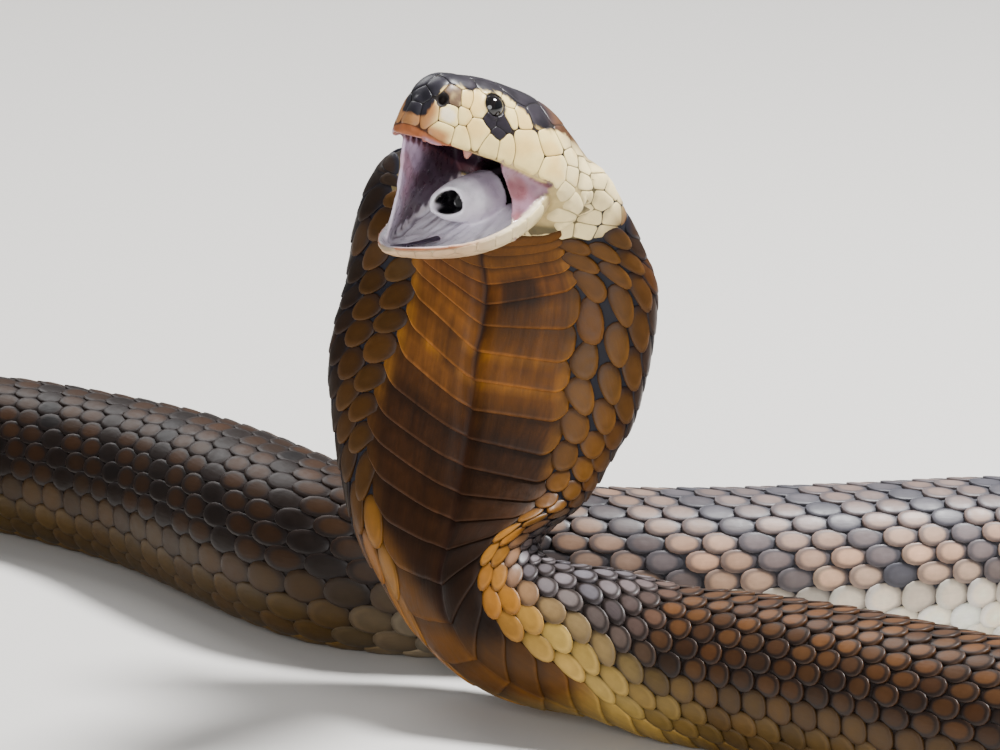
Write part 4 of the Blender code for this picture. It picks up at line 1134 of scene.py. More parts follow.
def shieldSeeds():  # place, weight, stretch along the head, and kind (0 head, 1 jaw, 2 neck) of every seed
    seeds = []
    for side in (1, -1):
        for t, degrees, weight in shieldShape["sideSeeds"]:
            seeds.append((headPlace(t, *headRing(t, radians(degrees) * side)), weight, 1.0, 0))
        for t, degrees, weight in shieldShape["neckSeeds"]:
            seeds.append((neckPlace(t, radians(degrees) * side), weight, 1.5, 2))
        for r, degrees, weight in shieldShape["jawSideSeeds"]:
            seeds.append((jawPlace(r, *jawRing(r, radians(degrees) * side)), weight, 1.2, 1))
    for t, degrees, weight in shieldShape["middleSeeds"]:
        seeds.append((headPlace(t, *headRing(t, radians(degrees))), weight, 1.2, 0))
    for t, side, up, weight in shieldShape["frontSeeds"]:
        seeds.append((headPlace(t - 1.1, side, up), weight, 1.0, 0))
    for r, degrees, weight in shieldShape["jawMiddleSeeds"]:
        seeds.append((jawPlace(r, *jawRing(r, radians(degrees))), weight, 1.0, 1))
    fixed = len(seeds)
    for t, degrees in lattice("neckLattice"):  # on the snake's left, the body's scales fill its right
        if t >= 53 or degrees <= 148:
            seeds.append((neckPlace(t, radians(degrees)), 1.0, 1.5, 2))
    for side in (1, -1):
        for t, degrees in lattice("foreLattice"):
            seeds.append((surface((t - headEnd) * mm, radians(degrees) * side), 1.0, 1.2, 2))
        for r, degrees in lattice("throatLattice"):
            seeds.append((jawPlace(r, *jawRing(r, radians(degrees) * side)), 1.0, 1.5, 1))
    places = np.array([np.asarray(seed[0], float).reshape(3) for seed in seeds])
    keep = np.arange(len(seeds)) < fixed
    for i in range(fixed, len(seeds)):
        keep[i] = np.linalg.norm(places[keep] - places[i], axis=1).min() > shieldShape["spacing"] * mm
    return places[keep], *(np.array([seed[k] for seed in seeds])[keep] for k in (1, 2, 3))


def march(tree, seeds, axes):  # rays over the surface from every seed: points, normals and faces
    rays, steps, step = shieldShape["rays"], shieldShape["reach"], shieldShape["step"]
    points = np.zeros((len(seeds), rays, steps, 3))
    normals, faces = np.zeros_like(points), np.zeros(points.shape[:-1], int)
    for i, seed in enumerate(seeds):
        place, normal, face, _ = tree.find_nearest(seed)
        tailwards = Vector(axes[i])
        u = (tailwards - normal * tailwards.dot(normal)).normalized()
        v = normal.cross(u)
        for j in range(rays):
            a = j / rays * 2 * pi
            way = u * cos(a) + v * sin(a)
            at, up, on = place, normal, face
            for k in range(steps):
                points[i, j, k], normals[i, j, k], faces[i, j, k] = at, up, on
                onward, upOn, on, _ = tree.find_nearest(at + way * step)
                way = onward - at
                way = (way - upOn * way.dot(upOn)).normalized()
                at, up = onward, upOn
    return points, normals, faces


def allowed(points, kinds, lining):  # how far, in metres, a point is inside the part that shields may cover
    t, _, up = inHead(points)
    r, _, upJaw = inJaw(points)
    lip, sag = lipLine(t), lipSag(r)
    kind = kinds[:, None, None]
    inside = np.full(points.shape[:-1], 9.0)
    keep = shieldShape["lipKeep"] + 0.5 * ramp(t, 5, 1)
    inside = np.where((t < 42) & (kind != 1), np.minimum(inside, up - lip - keep), inside)
    keep = 0.5 + 0.6 * ramp(r, 30, 45)
    inside = np.where((r > 1) & (kind == 1), np.minimum(inside, -upJaw - sag - keep), inside)
    inside = np.where(lining > 0.45, -1, inside)
    for end in (1, -1):
        inside = np.minimum(inside, fromEye(points, end) - shieldShape["eyeKeep"])
        inside = np.minimum(inside, nostril(points, end) * 1.2 - 0.35)
    return inside * mm


def nostril(points, end):  # distance in millimetres out of an upright oval hole
    a, b, c = skinShape["nostrilAt"]
    rel = np.stack(inHead(points), -1) - np.array([a, b * end, c])
    return (np.linalg.norm(rel / np.array(skinShape["nostrilSize"]), axis=-1) - 1) * 0.8


def shieldRoom(points, normals, lining, kinds, places, weights, stretches, axes):  # metres to the edge
    def distance(points, index):
        rel = points - places[index]
        along = rel @ axes[index]
        square = (rel ** 2).sum(-1) - (1 - 1 / stretches[index] ** 2) * along ** 2
        return np.sqrt(np.maximum(square, 1e-12)) / weights[index]

    inside = allowed(points, kinds, lining)
    upright = (normals * normals[:, :1, :1]).sum(-1)
    soft = (kinds > 0)[:, None, None]
    inside = np.where((upright < 0.3) & soft, -mm, inside)  # not over a crease
    marched = np.arange(points.shape[2]) * shieldShape["step"]
    straight = np.linalg.norm(points - points[:, :, :1], axis=-1)
    least, most = shieldShape["straightness"]
    folded = (straight < least * marched - 0.2 * mm) | (straight > most * marched + 0.2 * mm)
    inside = np.where(folded & soft, -mm, inside)
    leap = np.linalg.norm(np.diff(points, axis=2), axis=-1) > 2 * shieldShape["step"]
    bent = (normals[:, :, 1:] * normals[:, :, :-1]).sum(-1) < 0.6
    inside[:, :, 1:][leap | (bent & soft)] = -mm
    for i in range(len(points)):
        own = distance(points[i], i)
        order = np.argsort(np.linalg.norm(places - places[i], axis=1))[1:19]
        rival = np.min([distance(points[i], j) for j in order], axis=0)
        inside[i] = np.minimum(inside[i], (rival - own) / 2)
    return inside - shieldShape["gap"]


def growShields(tree, seeds, weights, stretches, kinds, others, faceLining):  # others are the scales near by
    allPlaces = np.concatenate([seeds, others])
    allWeights = np.concatenate([weights, np.ones(len(others))])
    allStretch = np.concatenate([stretches, np.full(len(others), shieldShape["scaleStretch"])])
    low = ramp(inHead(allPlaces)[2], 5, -4)
    low[:len(seeds)] *= kinds > 0
    axes = unit(mix(-headForward, -jawForward, low))
    points, normals, faces = march(tree, seeds, axes)
    room = shieldRoom(points, normals, faceLining[faces], kinds, allPlaces, allWeights, allStretch, axes)
    steps = points.shape[2]
    out = room < 0
    first = np.where(out.any(-1), out.argmax(-1), steps - 1)
    before = np.maximum(first - 1, 0)
    i, j = np.meshgrid(np.arange(len(seeds)), np.arange(points.shape[1]), indexing="ij")
    a, b = room[i, j, before], room[i, j, first]
    length = np.where(first > 0, before + np.clip(a / np.maximum(a - b, 1e-9), 0, 1), 0.0)
    for _ in range(3):
        soft = (np.roll(length, 1, 1) + np.roll(length, -1, 1)) / 2
        length = np.minimum(length, soft + 0.5)
    good = length.mean(1) > shieldShape["smallest"]
    points, normals, length, i, j = points[good], normals[good], length[good], i[:good.sum()], j[:good.sum()]
    made, marks = [], []
    size = np.clip(length.mean(1) * shieldShape["step"] / mm / 2.4, 0.45, 1)[:, None]
    for inset, share, lift in shieldShape["rings"]:
        at = np.maximum(length - inset * mm / shieldShape["step"] * size, length * 0.3) * share
        at = np.clip(at, 0, steps - 1.001)
        k = at.astype(int)
        f = (at - k)[..., None]
        place = points[i, j, k] * (1 - f) + points[i, j, k + 1] * f
        normal = unit(normals[i, j, k] * (1 - f) + normals[i, j, k + 1] * f)
        angle = j / points.shape[1] * 2 * pi
        onNeck = (kinds[good] == 2)[:, None] * (lift > -0.2)
        tilt = shieldShape["neckTilt"] * at / length.max(1)[:, None] * np.cos(angle) * onNeck
        place = place + normal * ((lift * size + tilt) * mm)[..., None]
        made.append(place if share else place[:, :1])
        mark = np.stack([np.minimum(length - at, 9), np.cos(angle) * at / length], -1)
        marks.append(mark if share else mark[:, :1])
    return np.concatenate(made, 1), np.concatenate(marks, 1), np.where(good)[0]


crownEdge = [  # t and height of the dark top's lower edge
    (-2, 2.6), (0.3, 3.4), (0.7, 6.2), (1.4, 9.4), (2.5, 13.0), (5, 14.9), (7.5, 15.8), (9.9, 15.4),
    (13, 17.0), (16, 17.6), (22, 19.3), (25.5, 18.8), (28, 17.7), (31.0, 16.6), (32.8, 14.1), (38, 14.9),
    (43, 16.5), (50.5, 16.0), (58, 16.5),
]


def darkCrown(points):  # 1 on the dark top of the head, the temples and the patch under the eye
    t, side, up = inHead(points)
    ragged = 0.30 * waves(points / mm, 5, 71) + 0.15 * waves(points / mm, 2, 72)
    top = ease((up - smooth(t, crownEdge) + ragged) / 0.55 + 0.5) * ease((56 - t + ragged * 2) / 6)
    under = 1 - ((t - 20.1) / 3.6) ** 2 - ((up - 10.4) / 2.0) ** 2
    wedge = 1 - ((t - 21.5) / 1.6) ** 2 - ((up - 8.4) / 2.7) ** 2
    a, b, c = skinShape["eyeAt"]
    eye = np.linalg.norm(np.stack([t - a, np.abs(side) - b, up - c], -1), axis=-1)
    around = ease((skinShape["eyeRadius"] + 0.75 - eye) / 0.4 + 0.5)
    beside = np.maximum(ease(under / 0.4 + 0.4 + ragged * 0.3), ease(wedge / 0.5 + 0.4)) * (t < 45)
    return np.maximum.reduce([top, beside, around])


def napeShare(points):  # 1 on the back of the neck, 0 on its sides and front
    near = spineS < 40 * mm
    k = np.linalg.norm(points[:, None] - spineCentre[near][None], axis=-1).argmin(1)
    rel = points - spineCentre[k]
    turn = np.degrees(np.abs(np.arctan2((rel * spineLeft[k]).sum(1), -(rel * spineBack[k]).sum(1))))
    return ramp(turn, 122, 144) * ramp(inHead(points)[0], 42, 50)


def headColour(points):
    t, _, up = inHead(points)
    base = mix("headCream", "neckCream", ramp(t, 38, 50))
    deeper = tone("headCream") * np.array([0.88, 0.72, 0.5])
    base = mix(base, deeper, ease(0.45 + waves(points / mm, 8, 73)) * ramp(up, 1, 5) * 0.55)
    # a pale patch on the lower nasal: partly the shield's own pale colour, partly a painted highlight
    paleNasalAndHighlight = ease((1 - ((t - 4.7) / 2.4) ** 2 - ((up - 6.0) / 2.4) ** 2) / 0.4)
    base = mix(base, "snoutWhiteAndHighlight", paleNasalAndHighlight * 0.6)
    low = np.maximum(ramp(t, 3.0, 0.8) * ramp(up, 9, 7), ramp(up, 2.5, 0) * ramp(t, 9, 5))
    base = mix(base, "lipPeach", low * 0.85)
    rim = ease((1.2 - (up - lipLine(t))) / 1.2) * ramp(t, 46, 42)
    base = mix(base, "lipPeach", rim * 0.30)
    crown = mix("crown", "snout", ramp(t, 12, 6))
    crown = mix(crown, "headUmber", ramp(t, 38, 46) * 0.75)
    crown = crown * (1 + 0.35 * waves(points / mm, 6, 74))[..., None]
    return mix(base, crown, darkCrown(points))


def jawColour(points):
    r = inJaw(points)[0]
    base = mix("neckCream", "jawCream", ramp(r, 5, 25) * 0.7)
    base = mix(base, "lipPeach", ramp(r, 16, 38) * 0.55)
    return base * (1 + 0.06 * waves(points / mm, 6, 75))[..., None]


# 0 outside, 1 palate, 2 floor, 3 and 4 left and right corner, 5 throat, 6 windpipe, 7 fangs
def labelSkin(points):  # 1 in the column of the part that a skin point belongs to
    sources, labels = [], []

    def add(body, label):
        sources.append(body[0][:-2])
        labels.append(np.broadcast_to(label, len(body[0]) - 2))

    head, phi = headBody(), turns(96)
    rows = (len(head[0]) - 2) // 96
    t = inHead(head[0][:-2])[0]
    add(head, np.where((np.tile(np.cos(phi), rows) > 0.04) & (t < 44) & (t > 0.5), 1, 0))
    jaw, phi = jawBody(), turns(72)
    floor = np.tile(np.cos(phi), (len(jaw[0]) - 2) // 72) < -0.06
    add(jaw, np.where(floor & (inJaw(jaw[0][:-2])[0] < 49), 2, 0))
    for number, body in enumerate([membraneBody(1), membraneBody(-1), throatBody(), pipeBody()], 3):
        add(body, number)
    for side in (1, -1):
        add(fangBody(side), 7)
    sources, labels = np.concatenate(sources), np.concatenate(labels)
    tree = KDTree(len(sources))
    for i, point in enumerate(sources):
        tree.insert(point, i)
    tree.balance()
    found = np.array([labels[tree.find(point)[1]] for point in points])
    t, side, up = inHead(points)
    found[(found == 0) & (t > 33) & (t < 50) & (np.abs(side) < 15) & (up > -3) & (up < 9)] = 5
    r, jawSide, jawHeight = inJaw(points)
    between = (found == 0) & (up < lipLine(t) - 0.5) & (t > 1) & (jawHeight + lipSag(r) > -0.3)
    within = between & (jawSize(r) - np.abs(jawSide) > 1.2) & (r > 4)
    found[within] = np.where(side[within] > 0, 3, 4)
    within = between & (found == 0) & (headSize(t) - np.abs(side) > 2.5) & (r > -3)
    found[within] = np.where(t[within] > 34, 5, np.where(side[within] > 0, 3, 4))
    along = (points - pipeStart) @ pipeAxis / pipeLength
    off = np.linalg.norm(points - pipeStart - along[:, None] * (pipeEnd - pipeStart), axis=1) / mm
    found[(off < smooth(along, skinShape["pipeProfile"]) + 0.9) & (along > 0.1) & (found == 5)] = 6
    return np.stack([(found == k).astype(float) for k in range(8)], -1)


def foldHeights(points, shares, far, groove):  # of the mouth's floor, the lids and the nostrils
    r, side, up = inJaw(points)
    ridge = waves(np.stack([r / 9, side / 1.15, 0 * r], -1), 2.2, 51)
    ridge = ridge + 0.6 * waves(np.stack([r / 4, side / 0.6, 0 * r], -1), 2.2, 52)
    fold = shares[:, 2] * ridge * 0.26 * ramp(far, 2.5, 4.5)
    fold = fold + (shares[:, 3] + shares[:, 4]) * waves(points / mm, 5, 53) * 0.14
    rut = np.exp(-((groove / 0.5) ** 2)) * ramp(r, 10, 18) * ramp(r, 40, 32)
    fold = fold - 0.55 * shares[:, 2] * rut
    fold = fold + 0.35 * shares[:, 2] * ramp(far, 4.0, 2)
    fold = fold + shares[:, 6] * waves(np.stack([r / 5, side, up], -1), 3.0, 54) * 0.14
    outer = np.clip(shares[:, 0], 0, 1)
    for end in (1, -1):
        fold = fold + outer * 0.42 * np.exp(-(((fromEye(points, end) - 0.35) / 0.55) ** 2))
        fold = fold - 1.6 * ease((0.15 - nostril(points, end)) / 0.5)
    return fold


def sutureColour(points, jaw, head, lining):  # the skin between the shields, and the lips
    r, side, up = jaw
    t, sideHead, upHead = head
    crown, nape = darkCrown(points), napeShare(points)
    tint = mix("headSuture", tone("gap", 0.8), crown)
    tint = mix(tint, tone("neckCream", 0.13), ramp(t, 44, 52) * (1 - crown))
    tint = mix(tint, tone("jawCream", 0.5), ease((upHead < 0) * (r > 2) * (up < 1) * 1.0))
    turn = np.arctan2(sideHead, -(upHead - 8))
    onNeck = gapColour(np.clip((t - headEnd) * mm, 0, 30 * mm), turn)
    tint = mix(tint, onNeck, ramp(t, 60, 68) * 0.8)
    tint = mix(tint, "gap", nape)
    angle = 1 - ((t - 47) / 15) ** 2 - ((upHead + 3) / 9) ** 2  # soft skin round the jaw's angle
    soft = ease(angle / 0.4) * 0.85 * (1 - nape)
    tint = mix(tint, tone("neckCream") * np.array([0.62, 0.58, 0.5]), soft)
    tint = mix(tint, tone("gap", 1.5), ramp(-sideHead, 6, 9) * ramp(t, 51, 55))
    lipAt = upHead - lipLine(t)
    rim = mix("lipPeach", tone("headCream", 0.7), ramp(t, 8, 22))
    tint = mix(tint, rim, ramp(lipAt, 0.9, 0.5) * (t < 42) * (lipAt > -3.5))
    lip = np.exp(-(((lining - 0.5) / 0.35) ** 2)) * (t < 40)
    tint = mix(tint, rim, np.clip(lip * 1.3, 0, 1) * (upHead < 3.5))
    skirt = ease((1.4 - np.abs(up + lipSag(r))) / 0.8) * (r > 6) * (np.abs(side) > 3)
    return mix(tint, mix("lipPeach", "jawCream", ramp(r, 40, 20)), skirt * 0.95)


def palateColour(t, up):
    # the palate's near black is painted shade; towards the snout it turns lilac, by the lip pink, with gum
    # pink and peach at the front
    tint = mix("mouthShadow", tone("mouthLilac", 0.7), ramp(t, 12, 4) * 0.6)
    tint = mix(tint, tone("mouthPink", 0.75), ease((1.0 - (up - lipLine(t))) / 1.2) * 0.7)
    tint = mix(tint, "gumPink", ramp(t, 8.5, 4.5) * 0.8)
    return mix(tint, "lipPeach", ramp(t, 3.5, 0.5) * 0.6)


def floorColour(r, side, far, groove, blush):
    middle = ramp(far, 4, 6)
    vein = ease((waves(np.stack([r / 16, side / 3.2, 0 * r], -1), 1.6, 55) - 0.55) / 0.35)
    tint = mix("mouthFloor", "mouthLilac", 0.15 * blush + 0.5 * ramp(r, 18, 8))
    tint = mix(tint, "mouthVein", 0.6 * vein * ramp(r, 12, 20) * middle)
    # painted shade at the back of the mouth's floor
    tint = mix(tint, "mouthShadow", ramp(r, 13, 3) * ramp(far, 4, 7) * 0.9)
    gum = ramp(far, 4.2, 3) * ramp(r, 42, 32) * np.where(side < 0, 0.25, 0.9)
    tint = mix(tint, "jawCream", gum)
    tint = mix(tint, "lipPeach", ramp(far, 1.6, 0.4) * ramp(r, 14, 30) * 0.7)
    # painted shade along the groove in the mouth's floor
    rut = 0.75 * np.exp(-((groove / 0.35) ** 2)) * ramp(r, 12, 18) * ramp(r, 40, 34)
    return mix(tint, "mouthVein", rut)


def cheekColours(t, r, blush):  # of the skin at the mouth's corners, the snake's left and right
    left = mix("mouthPink", "mouthLilac", 0.35 * blush)
    # the far corner, on the snake's right, is painted as lit: brighter copies of the mouth's lilac and pink,
    # paler towards its front, with painted shade at its rear
    right = mix(tone("mouthLilac", 1.4), tone("mouthPink", 1.6), 0.5 * blush)
    right = mix(right, tone("mouthFloor", 0.9), ramp(r, 28, 40) * 0.6)
    return left, mix(right, "mouthShadow", ramp(t, 16, 28) * 0.9)


def pipeColour(points, normals, r, blush):
    tint = mix("mouthFloor", "mouthLilac", 0.25 * blush + 0.6 * ramp(r, 19, 10))
    rel = points - pipeStart
    radial = rel - (rel @ pipeAxis)[:, None] * pipeAxis
    off = np.linalg.norm(radial, axis=1) / mm
    bore = skinShape["boreRadius"]
    inner = ease((0.5 - (normals * unit(radial)).sum(1)) / 0.3)
    # painted shade: the windpipe's bore near black inside
    boreShade = ease((bore + 0.5 - off) / 0.4) * inner
    boreShade = np.maximum(boreShade, ease((bore - 0.2 - off) / 0.3)) * (rel @ pipeAxis / pipeLength > 0.4)
    return mix(tint, "pipeBore", boreShade)


def paintHeadSkin(item):  # forms its folds too; gives every point's colour and share of the mouth's lining
    mesh = item.data
    flat, normals = meshPoints(mesh), meshNormals(mesh)
    shares = relaxed(labelSkin(flat), meshEdges(mesh), 3)
    jaw, head = inJaw(flat), inHead(flat)
    r, side, _ = jaw
    t, _, up = head
    far = jawSize(r) - np.abs(side)  # how far in from the jaw's rim
    groove = far - 4.4 - 0.5 * waves(flat / mm, 9, 57)
    points = flat + normals * (foldHeights(flat, shares, far, groove) * mm)[:, None]
    mesh.vertices.foreach_set("co", points.astype(np.float32).ravel())
    mesh.update()
    lining = shares[:, 1:].sum(1)
    blush = ease(0.5 + waves(points / mm, 11, 56))
    parts = [  # in labelSkin's order
        sutureColour(points, jaw, head, lining), palateColour(t, up),
        # the throat is painted near black, painted shade
        floorColour(r, side, far, groove, blush), *cheekColours(t, r, blush), tone("mouthShadow", 0.3),
        pipeColour(points, normals, r, blush), tone("gumPink"),
    ]
    tint = sum(shares[:, [k]] * np.broadcast_to(part, (len(points), 3)) for k, part in enumerate(parts))
    # painted shade: the nostrils' holes near black
    for end in (1, -1):
        tint = mix(tint, "nostril", ease((0.35 - nostril(points, end)) / 0.4))
    return tint, lining


# Materials
def nodeGroup(name, inputs, outputs):
    group = bpy.data.node_groups.new(name, "ShaderNodeTree")
    for label, kind, value in inputs:
        socket = group.interface.new_socket(label, in_out="INPUT", socket_type=kind)
        if value is not None:
            socket.default_value = value
    for label, kind in outputs:
        group.interface.new_socket(label, in_out="OUTPUT", socket_type=kind)
    return group, group.nodes.new("NodeGroupInput"), group.nodes.new("NodeGroupOutput")


def addNode(tree, kind, inputs=(), **values):
    node = tree.nodes.new(kind)
    for name, value in values.items():
        setattr(node, name, value)
    for name, value in dict(inputs).items():
        node.inputs[name].default_value = value
    return node


def addMath(tree, operation, *values):  # values are sockets or numbers
    node = addNode(tree, "ShaderNodeMath", operation=operation)
    for socket, value in zip(node.inputs, values):
        if isinstance(value, float):
            socket.default_value = value
        else:
            tree.links.new(value, socket)
    return node.outputs[0]


def keratinGroup():  # fine mottle and growth lines: colour, roughness and height of horny scales
    group, start, end = nodeGroup(
        "keratin",
        [("Tint", "NodeSocketColor", None), ("Mottle", "NodeSocketFloat", 0.2),
         ("Streaks", "NodeSocketFloat", 0.2), ("Stretch", "NodeSocketVector", (1, 1, 1)),
         ("Gloss", "NodeSocketFloat", 0.35)],
        [("Color", "NodeSocketColor"), ("Roughness", "NodeSocketFloat"), ("Height", "NodeSocketFloat")])
    link = group.links.new
    place = addNode(group, "ShaderNodeTexCoord")
    mottled = addNode(group, "ShaderNodeTexNoise", {"Scale": 420, "Detail": 5})
    link(place.outputs["Object"], mottled.inputs["Vector"])
    lay = addNode(group, "ShaderNodeAttribute", attribute_name="lay")
    stretched = addNode(group, "ShaderNodeVectorMath", operation="MULTIPLY")
    link(lay.outputs["Vector"], stretched.inputs[0])
    link(start.outputs["Stretch"], stretched.inputs[1])
    streaked = addNode(group, "ShaderNodeTexNoise", {"Scale": 1, "Detail": 4})
    link(stretched.outputs["Vector"], streaked.inputs["Vector"])
    mottle, streak = mottled.outputs["Fac"], streaked.outputs["Fac"]

    def swing(source, amount):  # 1 plus or minus the amount
        spread = addMath(group, "MULTIPLY", addMath(group, "SUBTRACT", source, 0.5), amount)
        return addMath(group, "MULTIPLY_ADD", spread, 3.0, 1.0)

    swings = swing(mottle, start.outputs["Mottle"]), swing(streak, start.outputs["Streaks"])
    colour = addNode(group, "ShaderNodeVectorMath", operation="SCALE")
    link(start.outputs["Tint"], colour.inputs[0])
    link(addMath(group, "MULTIPLY", *swings), colour.inputs["Scale"])
    link(colour.outputs["Vector"], end.inputs["Color"])
    rough = addMath(group, "MULTIPLY_ADD", mottle, 0.3, start.outputs["Gloss"])
    link(addMath(group, "SUBTRACT", rough, 0.15), end.inputs["Roughness"])
    link(addMath(group, "ADD", mottle, streak), end.inputs["Height"])
    return group


keratin = keratinGroup()


def newMaterial(name):
    material = bpy.data.materials.new(name)
    material.use_nodes = True
    tree = material.node_tree
    return material, tree, tree.nodes["Principled BSDF"]


def tintedMaterial(name, mottle, streaks, stretch, gloss, bump, specular=0.5, coat=0.0):
    material, tree, shader = newMaterial(name)
    tint = addNode(tree, "ShaderNodeAttribute", attribute_name="tint")
    detail = addNode(tree, "ShaderNodeGroup", node_tree=keratin)
    for label, value in (("Mottle", mottle), ("Streaks", streaks), ("Stretch", stretch), ("Gloss", gloss)):
        detail.inputs[label].default_value = value
    tree.links.new(tint.outputs["Color"], detail.inputs["Tint"])
    tree.links.new(detail.outputs["Color"], shader.inputs["Base Color"])
    tree.links.new(detail.outputs["Roughness"], shader.inputs["Roughness"])
    relief = addNode(tree, "ShaderNodeBump", {"Distance": bump * mm, "Strength": 0.6})
    tree.links.new(detail.outputs["Height"], relief.inputs["Height"])
    tree.links.new(relief.outputs["Normal"], shader.inputs["Normal"])
    shader.inputs["Specular IOR Level"].default_value = specular
    shader.inputs["Coat Weight"].default_value = coat
    shader.inputs["Coat Roughness"].default_value = 0.12
    return material


finish = {
    "skin": tintedMaterial("skin_between_scales", 0.25, 0.0, (1, 1, 1), 0.60, 0.10, 0.25),
    "mouth": tintedMaterial("wet_mouth", 0.12, 0.0, (1, 1, 1), 0.30, 0.10, 0.5, 0.35),
    "scales": tintedMaterial("horny_scales", 0.12, 0.05, (0.25, 1.2, 60), 0.42, 0.08, 0.2),
    "plates": tintedMaterial("belly_plates", 0.16, 0.16, (1.3, 0.12, 60), 0.48, 0.10, 0.18),
    "shields": tintedMaterial("head_shields", 0.08, 0.03, (0.5, 0.2, 60), 0.36, 0.04, 0.3),
    "tongue": tintedMaterial("tongue_skin", 0.3, 0.0, (1, 1, 1), 0.35, 0.08, 0.5, 0.3),
}

headTint, lining = paintHeadSkin(headSkin)
headPoints = meshPoints(headSkin.data)
corners = np.empty(len(headSkin.data.loops), np.int32)
headSkin.data.loops.foreach_get("vertex_index", corners)
headQuads = corners.reshape(-1, 4)
tree = BVHTree.FromPolygons(headPoints.tolist(), headQuads.tolist())
print("body coat")
cells, paint = bodyCells()
print(len(cells), "body scales")
seedPlaces, seedWeights, seedStretch, seedKinds = shieldSeeds()
near = cells[:, 0] < 34 * mm  # scales that border on the shields
others = coatPlace(cells[near, 0], cells[near, 1])
apart = np.linalg.norm(others[:, None] - seedPlaces[None], axis=2).min(1) > shieldShape["spacing"] * 0.85 * mm
cells, paint = (np.concatenate([part[near][apart], part[~near]]) for part in (cells, paint))
cells, paint = (part[unfolded(cells)] for part in (cells, paint))
shieldPoints, shieldMarks, shieldSeed = growShields(
    tree, seedPlaces, seedWeights, seedStretch, seedKinds, others[apart], lining[headQuads].mean(1))
print(len(shieldPoints), "head, jaw and neck shields of", len(seedPlaces))


perSide = sum(len(shieldShape[name]) for name in ("sideSeeds", "neckSeeds", "jawSideSeeds"))
darkShields, nasalShields = (
    [k + side * perSide for side in (0, 1) for k in shieldShape[name]]
    for name in ("darkSeeds", "nasalSeeds"))


def shieldColours():
    each = shieldPoints.shape[1]
    flat = shieldPoints.reshape(-1, 3)
    kind, seed = np.repeat(seedKinds[shieldSeed], each), np.repeat(shieldSeed, each)
    tint = np.where((kind == 1)[:, None], jawColour(flat), headColour(flat))
    t, side, up = inHead(flat)
    neck = (kind == 2) & (t > 46)
    turn = np.degrees(np.abs(np.arctan2(side, -(up - 8))))
    back = mix("neckCream", "sideTan", ramp(t, 72, 80))
    back = mix(back, "napeBrown", ramp(turn, 118, 148))
    neckTint = mix("neckCream", back, ramp(t, 56, 66))
    neckTint = mix(neckTint, tone("sideBrown", 1.3), ramp(-side, 6, 9) * ramp(t, 52, 57))
    neckTint = mix(neckTint, "napeDark", darkCrown(flat) * 0.9)
    tint = mix(tint, neckTint, neck * ramp(t, 46, 50))
    tint = mix(tint, tone("sideBrown", 1.5), napeShare(flat) * (kind != 1) * 0.96)
    tint = np.where(np.isin(seed, darkShields)[:, None], colours["crown"], tint)
    behind = np.isin(seed, nasalShields) * (0.97 - 0.25 * ease(waves(flat / mm, 3, 78)))
    tint = mix(tint, "nasal", behind)
    tint = tint * (1 + 0.05 * np.repeat(draws.normal(0, 1, len(shieldPoints)), each))[:, None]
    inset, u = shieldMarks[..., 0].reshape(-1), shieldMarks[..., 1].reshape(-1)
    tint = mix(tint, tint * 0.22, ramp(inset, 0.45, 0.1) * np.where(kind == 1, 0.3, 0.8))
    tint = mix(tint, tint * 0.55, neck * ramp(u, -0.35, -0.85) * 0.7)
    return tint.reshape(shieldPoints.shape)


def addShields():
    count, each = shieldPoints.shape[:2]
    around = shieldShape["rays"]
    levels = len(shieldShape["rings"])
    quads = loftFaces(levels - 1, around)[:, ::-1]
    j = np.arange(around)
    last = (levels - 2) * around
    top = np.stack([last + (j + 1) % around, np.full(around, each - 1), last + j], -1)
    bottom = np.stack([j[2:], j[1:-1], np.zeros(around - 2, int)], -1)
    tris = np.concatenate([top, bottom])
    offset = (np.arange(count) * each)[:, None, None]
    tint = shieldColours()
    centres = seedPlaces[shieldSeed]
    rel = shieldPoints - centres[:, None]
    number = np.repeat(draws.uniform(0, 1, count)[:, None], each, 1)
    lay = np.stack([rel @ headLeft / mm, rel @ -headForward / mm, number], -1)
    t, side, up = inHead(centres)
    uv = np.stack([0.06 + 0.011 * t, 0.5 + np.arctan2(side, up - 8) / (2 * pi) * 0.88], -1)
    uv = uv[:, None] + np.stack([lay[..., 1], lay[..., 0]], -1) * patchHalf / 2.5
    addCoat("shields", shieldPoints, quads[None] + offset, tris[None] + offset, tint, lay, uv,
            finish["shields"])


addShields()
points, quads, tris, lay, uv, spot = growScales(cells)
tint = paintScales(cells, paint, spot)
addCoat("scales", points, quads, tris, tint, lay, uv, finish["scales"])
vent = int(np.interp(plateEnd, rowS, rowCount))
whole, paired = ((-1, 1),), ((-1, -0.03), (0.03, 1))  # spans of a row's plates, as shares of its half-width
for name, first, last, columns, rows, spans in (
        ("front_plates", 2, 24, 57, plateShape["fineRows"], whole),
        ("rear_plates", 24, vent, 25, np.linspace(0, 1, 5), whole),
        ("tail_plates", vent, int(rowCount[-1]) - 2, 11, np.linspace(0, 1, 4), paired)):
    points, quads, tris, lay, uv, spot = growPlates(np.arange(first, last) + 0.5, columns, rows, spans)
    addCoat(name, points, quads, tris, paintPlates(spot, lay), lay, uv, finish["plates"])

